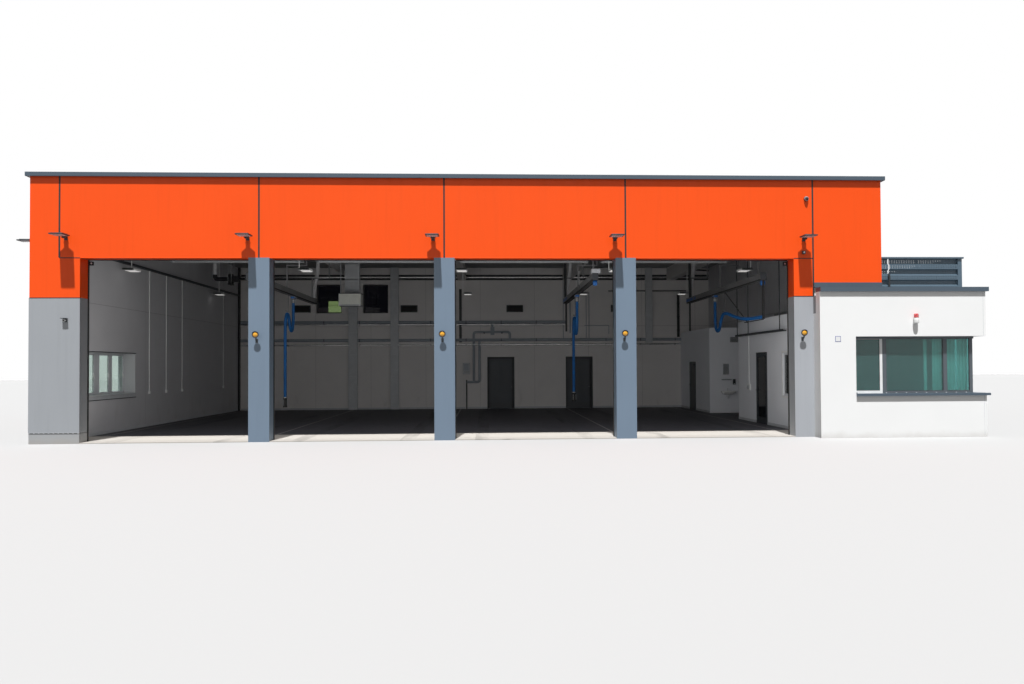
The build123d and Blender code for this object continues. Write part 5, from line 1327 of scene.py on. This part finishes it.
    def right_wall_runs(self, run):
        """Cable tray along the partition with its drops, and the sockets below."""
        tray = 2.85
        y0, y1 = FACADE + 2.9, FACADE + 8.4
        run.move(ROOM_X).use("dark frame")
        run.boxes((-0.11, 0, y0, y1, tray, tray + 0.003), (-0.11, -0.107, y0, y1, tray, tray + 0.06))
        for k in range(4):
            x = k * 0.022 - 0.09
            run.tube([(x, y0 + 0.02, tray + 0.014), (x, y1 - 0.02, tray + 0.014)], 0.009, 6)
        for y in (3.3, 6.76, 8.15):
            run.tube([(-0.095, FACADE + y, tray), (-0.095, FACADE + y, CEILING)], 0.016, 12)
        run.move(ROOM_X, FACADE + 6.84).use("white plastic").box(-0.05, 0, 0, 0.3, 1.05, 1.24)
        run.tube([(-0.015, 0.165, 1.24), (-0.015, 0.165, tray)], 0.014, 12)
        run.use("light grey coat")
        for k in range(3):
            y = k * 0.095
            run.boxes((-0.056, -0.05, y + 0.02, y + 0.09, 1.08, 1.2),
                      (-0.062, -0.056, y + 0.035, y + 0.075, 1.1, 1.17))

    def heater(self):
        """Louvres, grille and straps of the hanging heater, and joints of the wall ducts."""
        part = Mould().move(-BAY + 0.61, 11.7)
        part.use("black plastic").box(-0.412, 0.412, -0.003, 0.602, 4.628, 4.655)
        part.use("heater coat").box(-0.4, 0.4, -0.006, 0, 4.225, 4.622)
        part.pair(0.41, 0.414, 0.01, 0.59, 4.22, 4.62)
        for k in range(6):
            part.box(-0.3, 0.3, -0.009, -0.006, 4.5 + k * 0.014, 4.506 + k * 0.014)
        part.use("white plastic").box(-0.4, 0.4, -0.03, 0, 4.17, 4.215)
        part.use("zinc")
        for x in (-0.34, 0.34):
            for drop in (0.0, 0.7, 1.4):
                part.disc(0.024, 0.016, (x, 0.082, 4.655 + drop), UP, 6)
        for z in (4.6, 5.2, 5.8):
            part.box(-0.265, 0.265, 0.6, 1.055, z, z + 0.025)
        part.move(0, BACK)
        for (a, b), z in zip(DUCTS, (0.52, 0.52, 3.4)):
            while z < 5.6:
                part.box(a - 0.008, b + 0.008, -0.188, 0, z, z + 0.022)
                z += 0.95
        part.piece("heater_details")

    def flue(self):
        """Flue with its fan, hung from the ceiling at the left wall."""
        top = CEILING - 5.2
        part = Mould().move(-9.08, 12.0, 5.2).use("foil").disc(0.09, 0.88, (0, 0, 0.16), UP, 28)
        part.use("zinc")
        for z in (0.16, 0.58, 1.0):
            part.disc(0.096, 0.025, (0, 0, z), UP, 28)
        part.use("black plastic").tube([(0, 0, 0.22), HERE, (0.5, 0, 0)], 0.075, 18, 0.16)
        part.turned([(0, 0.12), (0.02, 0.2), (0.16, 0.2), (0.18, 0.12)], (0.5, 0, 0), ACROSS, 28)
        part.boxes((0.52, 0.66, -0.22, 0.22, -0.22, -0.18), (0.66, 0.9, -0.11, 0.11, -0.11, 0.11))
        part.tube([(0.9, 0, 0), (1.7, 0, 0)], 0.04, 14).tube([(1.7, 0, 0), (1.7, 0, top)], 0.04, 14)
        part.use("zinc")
        for x in (0.53, 0.65):
            for y in (-0.2, 0.2):
                part.tube([(x, y, -0.18), (x, y, top)], 0.006, 8)
        part.piece("flue_and_fan", edge=0.002, segments=1)

    def lamps(self):
        """Frosted covers and end caps of the hall lamps."""
        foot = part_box("ceiling_lights")[0].z
        part = Mould()
        for y in (4.0, 13.5):
            for x in (LEFT_IN + 0.33, -BAY + 0.33, 0.33, BAY + 0.33, 2 * BAY - 0.33):
                part.move(x, y, foot).use("lit cover")
                part.prism([(-0.14, 0), (-0.125, -0.014), (0.125, -0.014), (0.14, 0)],
                           (0, 0.59, 0), ACROSS, UP, 0.56)
                part.use("light grey coat")
                part.boxes(*((-0.163, 0.163, end, end + 0.02, -0.018, 0.053) for end in (0, 0.6)))
        part.piece("lamp_covers", edge=0.002, segments=1)

    def boxes(self):
        """Doors, locks and label frames of the black wall boxes."""
        part = Mould()
        for a, b in BAY_EDGES:
            part.move((a + b) / 2, BACK).use("dark frame").box(-0.355, 0.355, -0.108, -0.1, 4.29, 4.58)
            part.use("rubber").box(-0.33, 0.33, -0.112, -0.108, 4.315, 4.555)
        part.move(0, BACK).use("light grey coat").box(0.035, 0.335, -0.15, -0.14, 1.555, 2.035)
        part.use("grey frame").box(0.07, 0.29, -0.154, -0.15, 1.7, 2.0)
        part.use("black plastic").disc(0.012, 0.012, (0.31, -0.15, 1.8), OUT)
        for k in range(4):
            part.box(0.08, 0.29, -0.1512, -0.15, 1.62 + k * 0.012, 1.626 + k * 0.012)
        part.piece("wall_box_fronts", edge=0.002, segments=1)

    def trim(self):
        """Base strips, the ledge under the left windows, window handles and the back doors' linings."""
        part = Mould().use("light grey coat")
        for a, b in ((HALL_FRONT + 0.1, FACADE + 4.96), (FACADE + 6.16, FACADE + 8.4),
                     (FACADE + 12.79, FACADE + 15.33), (FACADE + 16.53, BACK)):
            part.box(ROOM_X - 0.012, ROOM_X, a, b, 0.02, 0.1)
        part.box(LEFT_IN, LEFT_IN + 0.012, HALL_FRONT, BACK - 0.12, 0.02, 0.1)
        for a, b in clear(LEFT_IN + 0.12, ROOM_X, [*DUCTS[:2], (0.13, 0.19), *BACK_DOORS]):
            part.box(a, b, BACK - 0.012, BACK, 0.02, 0.1)
        wide = (LEDGE[0] - 0.01, LEDGE[1] + 0.01)
        part.move(LEFT_IN).boxes((-0.3, 0.05, *LEDGE, 1.1, 1.122), (-0.01, 0.016, *wide, 1.0, 1.1))
        part.use("dark frame").boxes((-0.01, 0.012, *wide, 0.975, 1.0), (0, 0.012, *LEDGE, 2.32, 2.345))
        part.move()
        rear = BACK_OUT - 0.12
        for a, b in BACK_DOORS:
            part.boxes((a, a + 0.002, BACK, rear, 0.02, 2.3), (b - 0.002, b, BACK, rear, 0.02, 2.3),
                       (a + 0.002, b - 0.002, BACK, rear, 2.298, 2.3))
        part.use("white plastic")
        for y in (3.5, 4.6, 5.75):
            part.move(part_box("window_frames")[0].x + 0.06, FACADE + y)
            part.boxes((0, 0.012, -0.014, 0.014, 1.62, 1.75), (0.012, 0.04, -0.008, 0.008, 1.68, 1.696),
                       (0.03, 0.042, -0.012, 0.012, 1.57, 1.7))
        part.piece("hall_trim", edge=0.002, segments=1)


class STATION_OT_annex(bpy.types.Operator):
    """Gaskets, sash fittings, slats, caps, plate, beads and coping joints of the annex, and its screen"""

    bl_idname = "station.annex"
    bl_label = "Annex"

    def execute(self, context):
        self.window()
        self.blinds(context.scene.station_sizes.slat_width)
        self.wall()
        self.screen()
        return {"FINISHED"}

    def window(self):
        """Black gaskets round the panes, weep caps on the foot rail, hinges and handle of the sash."""
        part = Mould().move(0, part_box("corner_window_sash")[0].y).use("rubber")
        for a, b, low, high in (
            (10.54, 11.173, 1.19, 2.51), (11.35, 12.85, 1.18, 2.52), (12.95, 13.545, 1.18, 2.52),
        ):
            for y in (0.012, 0.042):
                part.boxes(*frame_of(a, b, low, high, 0.007, y, y + 0.006))
        part.use("white plastic")
        for k in range(12):
            x = 10.53 + k * 0.264
            part.box(x, x + 0.034, -0.005, 0, 1.128, 1.139)
        part.use("brushed steel")
        for z in (1.32, 2.36):
            part.disc(0.007, 0.07, (10.48, -0.007, z), UP, 14)
        part.boxes((11.19, 11.222, 0.06, 0.068, 1.77, 1.92), (11.2, 11.212, 0.068, 0.1, 1.86, 1.872),
                   (11.198, 11.214, 0.09, 0.104, 1.74, 1.872))
        part.piece("corner_window_fittings", edge=0.0015, segments=1)

    def blinds(self, slat):
        """Curved vertical slats on their track."""
        low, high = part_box("window_blinds")
        part = Mould().use("white frame")
        part.boxes((low.x, high.x, high.y - 0.04, high.y, high.z - 0.04, high.z),
                   (low.x, high.x, low.y, high.y - 0.04, high.z - 0.012, high.z))
        turns = [math.pi * (0.3 + 0.4 * t / 6) for t in range(7)]
        for a, b in ((1.5, 1.41), (1.27, 1.02), (0.88, 0.66), (0.61, 0.34)):
            count = max(1, round((a - b) / slat))
            wide = (a - b) / count
            reach = wide * 0.97 / 2 / math.cos(turns[0])
            rise = reach * math.sin(turns[0])
            outer = [(reach * math.cos(t), reach * math.sin(t) - rise) for t in turns]
            outline = [(u, v * 0.3) for u, v in outer + [(u, v - 0.0015) for u, v in reversed(outer)]]
            for k in range(count):
                part.move(ANNEX_RIGHT - a + wide * (k + 0.5), high.y - 0.022)
                part.use("blind cloth").prism(outline, (0, 0, low.z), ACROSS, DEEP, high.z - 0.055 - low.z)
                part.use("white plastic").boxes(
                    (-0.012, 0.012, -0.004, 0.006, high.z - 0.06, high.z - 0.04),
                    (-wide * 0.42, wide * 0.42, -0.003, 0.003, low.z - 0.004, low.z + 0.03))
        part.piece("vertical_blinds", instead=["window_blinds"])

    def wall(self):
        """Blue enamel plate, corner beads, coping joints and the sill's end caps."""
        part = Mould().move(0, ANNEX_FRONT).use("blue enamel").box(9.935, 10.078, -0.004, 0, 2.445, 2.588)
        part.use("white frame").box(9.945, 10.068, -0.0055, -0.004, 2.455, 2.578)
        part.use("zinc")
        for x in (9.95, 10.063):
            for z in (2.46, 2.573):
                part.turned([(0, 0.0035), (0.002, 0.003)], (x, -0.0055, z), OUT, 10)
        part.use("grey frame")
        for a, b in ((0.02, 1.05), (2.59, 3.72)):
            part.boxes((13.814, 13.818, -0.0012, 0, a, b),
                       (ANNEX_RIGHT, ANNEX_RIGHT + 0.0012, 0.062, 0.066, a, b))
        low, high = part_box("corner_window_sill")
        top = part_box("annex_side_wall")[1].z
        part.use("coping").box(low.x - 0.003, low.x, low.y - ANNEX_FRONT, 0.2, low.z - 0.006, high.z + 0.03)
        for x in (10.9, 12.4):
            part.boxes((x, x + 0.07, -0.0675, -0.066, top + 0.002, top + 0.108),
                       (x, x + 0.07, -0.066, 0.33, top + 0.11, top + 0.1115))
        for k in range(3):
            y = 1.2 + k * 2.6
            part.box(ANNEX_RIGHT + 0.066, ANNEX_RIGHT + 0.0675, y, y + 0.07, top + 0.002, top + 0.108)
        part.piece("annex_trim", edge=0.0006, segments=1)

    def screen(self):
        """Corner trim, cap joints and screws of the roof screen, and the dark arm below its slot."""
        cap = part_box("roof_screen")[1].z
        top = cap - 0.04
        x, y = SCREEN_RIGHT, SCREEN_FRONT
        screw = [(0, 0.011), (0.002, 0.011), (0.006, 0.006)]
        part = Mould().use("screen trim").box(x - 0.11, x + 0.002, y - 0.002, y + 0.068, SHEET_FOOT, top)
        for at in (12.2, 13.0):
            part.box(at, at + 0.06, y - 0.0415, y - 0.04, top + 0.002, cap - 0.002)
        for k in (0, 2, 4):
            z = SHEET_FOOT + (top - SHEET_FOOT) / 6 * (k + 0.45)
            for i in range(5):
                part.turned(screw, (11.5 + i * 0.53, y, z), OUT, 10)
            for i in range(12):
                part.turned(screw, (x, y + 0.35 + i * 0.64, z), ACROSS, 10)
        part.use("black plastic").box(11.74, 11.8, y - 0.03, y, 4.14, 4.26)
        part.box(11.75, 11.79, y - 0.05, y - 0.03, 3.9, 4.2)
        part.tube(on_wall(y - 0.03, (11.77, 3.95), (11.77, 3.845)), 0.012, 12)
        part.piece("screen_trim", edge=0.001, segments=1)


class STATION_OT_rooms(bpy.types.Operator):
    """Ironwork of the hinged doors, washbasin, vent and the surround of the room window"""

    bl_idname = "station.rooms"
    bl_label = "Rooms and doors"

    def execute(self, context):
        self.room_doors()
        self.back_doors()
        self.basin()
        self.walls()
        return {"FINISHED"}

    def room_doors(self):
        """Kick plates, lock roses, closers and glazing beads of the two doors in the partitions."""
        for name, start, top in (("partition_door", 4.738, 2.208), ("rear_room_door", 15.108, 1.968)):
            inner, outer = ROOM_LEAF
            end = start + LEAF_W
            part = Mould().use("dark frame")
            part.boxes(*((*face, start + 0.05, end - 0.03, 0.05, 0.2)
                         for face in ((inner - 0.0012, inner), (outer, outer + 0.0012))))
            part.use("brushed steel")
            for face, side in ((inner, -1), (outer, 1)):
                part.disc(0.009, 0.012, (face, end - 0.06, 0.98), (side, 0, 0), 20)
                part.disc(0.003, 0.014, (face, end - 0.06, 0.98), (side, 0, 0), 10)
            part.box(inner + 0.001, outer - 0.001, end - 0.0005, end + 0.001, 0.95, 1.15)
            part.use("dark frame").box(inner - 0.05, inner, start + 0.05, start + 0.29, top - 0.1, top - 0.04)
            part.disc(0.012, 0.02, (inner - 0.025, start + 0.2, top - 0.04), UP)
            if name == "partition_door":
                part.use("rubber")
                bars = frame_of(start + 0.088, end - 0.088, 0.21, top - 0.09, 0.012, 0, 0)
                for near, far in ((inner - 0.003, inner), (outer, outer + 0.003)):
                    part.boxes(*((near, far, a, b, foot, head) for a, b, _, _, foot, head in bars))
            part.piece(name + "_ironwork", body=name, edge=0.001, segments=1)

    def back_doors(self):
        """Kick plates, drip bars, lock roses, edge seals and stops of the two doors to the yard behind."""
        inner, outer = BACK_LEAF
        for name, start in (("back_door_left", 1.153), ("back_door_right", 4.633)):
            part = Mould().use("dark frame")
            end = start + LEAF_W
            part.boxes(*((start + 0.05, end - 0.03, *face, 0.06, 0.26)
                         for face in ((inner - 0.0012, inner), (outer, outer + 0.0012))))
            part.use("brushed steel")
            for face, side in ((inner, -1), (outer, 1)):
                part.disc(0.009, 0.012, (end - 0.06, face, 0.96), (0, side, 0), 20)
                part.disc(0.003, 0.014, (end - 0.06, face, 0.96), (0, side, 0), 10)
            part.use("dark frame").prism([(0, 0), (0.022, 0), (0.004, 0.03), (0, 0.03)],
                                         (start + 0.05, outer, 0.02), DEEP, UP, 0.99)
            part.use("rubber").box(start + 0.01, end - 0.01, 18.6, 18.62, 0.0008, 0.008)
            part.piece(name + "_ironwork", body=name, edge=0.001, segments=1)
        stops = Mould().use("rubber")
        behind = (inner - 0.03, inner - 0.01)
        for a, b in BACK_DOORS:
            stops.boxes((a + 0.04, a + 0.075, *behind, 0.02, 2.26),
                        (b - 0.085, b - 0.04, *behind, 0.02, 2.26),
                        (a + 0.075, b - 0.085, *behind, 2.225, 2.26))
        stops.piece("back_door_stops")

    def basin(self):
        """Ceramic bowl with mixer tap and trap, framed mirror, glass shelf and soap holder."""
        x, wall = 10.43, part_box("washbasin")[1].y
        part = Mould().use("ceramic")
        rings = []
        sides = 28
        for half, deep, back, z in (
            (0.13, 0.26, 0, 0.735), (0.2, 0.33, 0, 0.75), (0.26, 0.4, 0, 0.81), (0.28, 0.42, 0, 0.87),
            (0.278, 0.418, 0, 0.88), (0.25, 0.395, 0.11, 0.88), (0.24, 0.385, 0.11, 0.865),
            (0.2, 0.34, 0.11, 0.79), (0.12, 0.27, 0.11, 0.77), (0.02, 0.21, 0.17, 0.765),
        ):
            for k in range(sides):
                u, v = (math.copysign(abs(share) ** 0.6, share)
                        for share in (math.cos(math.tau * k / sides), math.sin(math.tau * k / sides)))
                rings.append((x + half * u, wall - (back + deep) / 2 + (deep - back) / 2 * v, z))
        part.rings(rings, sides).use("brushed steel")
        trap = ((-0.21, 0.74), (-0.21, 0.6), (-0.12, 0.6), (-0.12, 0.67), (0, 0.67))
        part.tube([(x, wall + y, z) for y, z in trap], 0.018, 14, 0.045).move(x, wall)
        tap = [(0, 0.024), (0.01, 0.024), (0.014, 0.019), (0.09, 0.019), (0.1, 0.012)]
        part.turned(tap, (0, -0.055, 0.88), UP)
        part.tube([(0, -0.055, 0.95), (0, -0.18, 0.965), (0, -0.18, 0.935)], 0.011, 14, 0.02)
        part.box(-0.006, 0.006, -0.11, -0.045, 0.982, 0.99)
        part.turned([(0, 0.02), (0.003, 0.018)], (0, -0.19, 0.766), UP, 20)
        part.disc(0.034, 0.004, (0, 0, 0.67), OUT, 24)
        part.use("mirror").box(-0.147, 0.077, -0.016, -0.004, 1.513, 1.927)
        part.use("brushed steel").box(-0.15, 0.08, -0.012, 0, 1.51, 1.93)
        part.use("dark frame").boxes((-0.225, 0.155, -0.12, 0, 1.3, 1.31),
                                     (-0.225, 0.155, -0.12, -0.115, 1.31, 1.32),
                                     (0.23, 0.32, -0.09, 0, 1.12, 1.33))
        part.use("light grey coat").box(0.255, 0.295, -0.1, -0.09, 1.13, 1.17)
        part.piece("washbasin_set", edge=0.0015, instead=["washbasin"], segments=1)

    def walls(self):
        """Vent over the basin, surround of the room window, and switches by the doors."""
        part = Mould().move(0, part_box("rear_room_front_wall")[0].y).use("light grey coat")
        part.box(10.56, 11.0, -0.015, 0, 2.76, 2.98)
        part.use("dark frame").box(10.58, 10.98, -0.02, -0.015, 2.78, 2.96)
        part.use("light grey coat")
        for k in range(7):
            part.prism([(0, 0), (0.018, -0.012), (0.02, -0.009), (0.002, 0.004)],
                       (10.58, -0.02, 2.797 + k * 0.024), OUT, UP, -0.4)
        part.move(ROOM_X).use("white frame")
        y0, y1, z0, z1 = FACADE + 2.15, FACADE + 3.35, 0.97, 2.22
        for a, b, c, d in ((y0 - 0.06, y1 + 0.06, z0 - 0.06, z0), (y0 - 0.06, y1 + 0.06, z1, z1 + 0.06),
                           (y0 - 0.06, y0, z0, z1), (y1, y1 + 0.06, z0, z1)):
            part.box(-0.014, 0, a, b, c, d)
        part.use("white plastic")
        for y, z in ((4.5, 1.08), (14.85, 1.08), (14.85, 1.16)):
            part.boxes((-0.011, 0, y, y + 0.075, z, z + 0.075),
                       (-0.015, -0.011, y + 0.012, y + 0.063, z + 0.012, z + 0.063))
        part.piece("room_wall_fittings", edge=0.0015, segments=1)


def frame_of(a, b, low, high, bar, near, far):
    """Boxes of a frame of bars inside a rectangle in X and Z, between two depths."""
    return [(a, a + bar, near, far, low, high), (b - bar, b, near, far, low, high),
            (a + bar, b - bar, near, far, low, low + bar), (a + bar, b - bar, near, far, high - bar, high)]


def clear(start, end, blocks):
    """The stretches between two ends that no block covers."""
    spans = []
    here = start
    for a, b in sorted(blocks):
        if a > here:
            spans.append((here, min(a, end)))
        here = max(here, b)
    if here < end:
        spans.append((here, end))
    return spans


def arc(inner, outer, start, end, steps):
    """Outline of a part of a ring, as pairs."""
    turns = [math.radians(start + (end - start) * k / steps) for k in range(steps + 1)]
    line = [(outer * math.cos(turn), outer * math.sin(turn)) for turn in turns]
    return line + [(inner * math.cos(turn), inner * math.sin(turn)) for turn in reversed(turns)]


class STATION_PT_panel(bpy.types.Panel):
    """Steps of the fire station"""

    bl_idname = "STATION_PT_panel"
    bl_label = "Fire station"
    bl_space_type = "VIEW_3D"
    bl_region_type = "UI"
    bl_category = "Fire station"

    def draw(self, context):
        for group in (context.scene.station_colours, context.scene.station_sizes):
            for name in group.__annotations__:
                self.layout.prop(group, name)
        for step in STEPS:
            self.layout.operator(step.bl_idname)


STEPS = [STATION_OT_stage, STATION_OT_finishes, STATION_OT_hoses, STATION_OT_cladding, STATION_OT_fittings,
         STATION_OT_bay_doors, STATION_OT_rails, STATION_OT_hall, STATION_OT_annex, STATION_OT_rooms]
CLASSES = [StationColours, StationSizes] + STEPS + [STATION_PT_panel]


def register():
    for item in CLASSES:
        bpy.utils.register_class(item)
    bpy.types.Scene.station_colours = bpy.props.PointerProperty(type=StationColours)
    bpy.types.Scene.station_sizes = bpy.props.PointerProperty(type=StationSizes)


def unregister():
    del bpy.types.Scene.station_sizes
    del bpy.types.Scene.station_colours
    for item in reversed(CLASSES):
        bpy.utils.unregister_class(item)


def main():
    register()
    for step in STEPS:
        group, action = step.bl_idname.split(".")
        getattr(getattr(bpy.ops, group), action)()


if __name__ == "__main__":
    main()
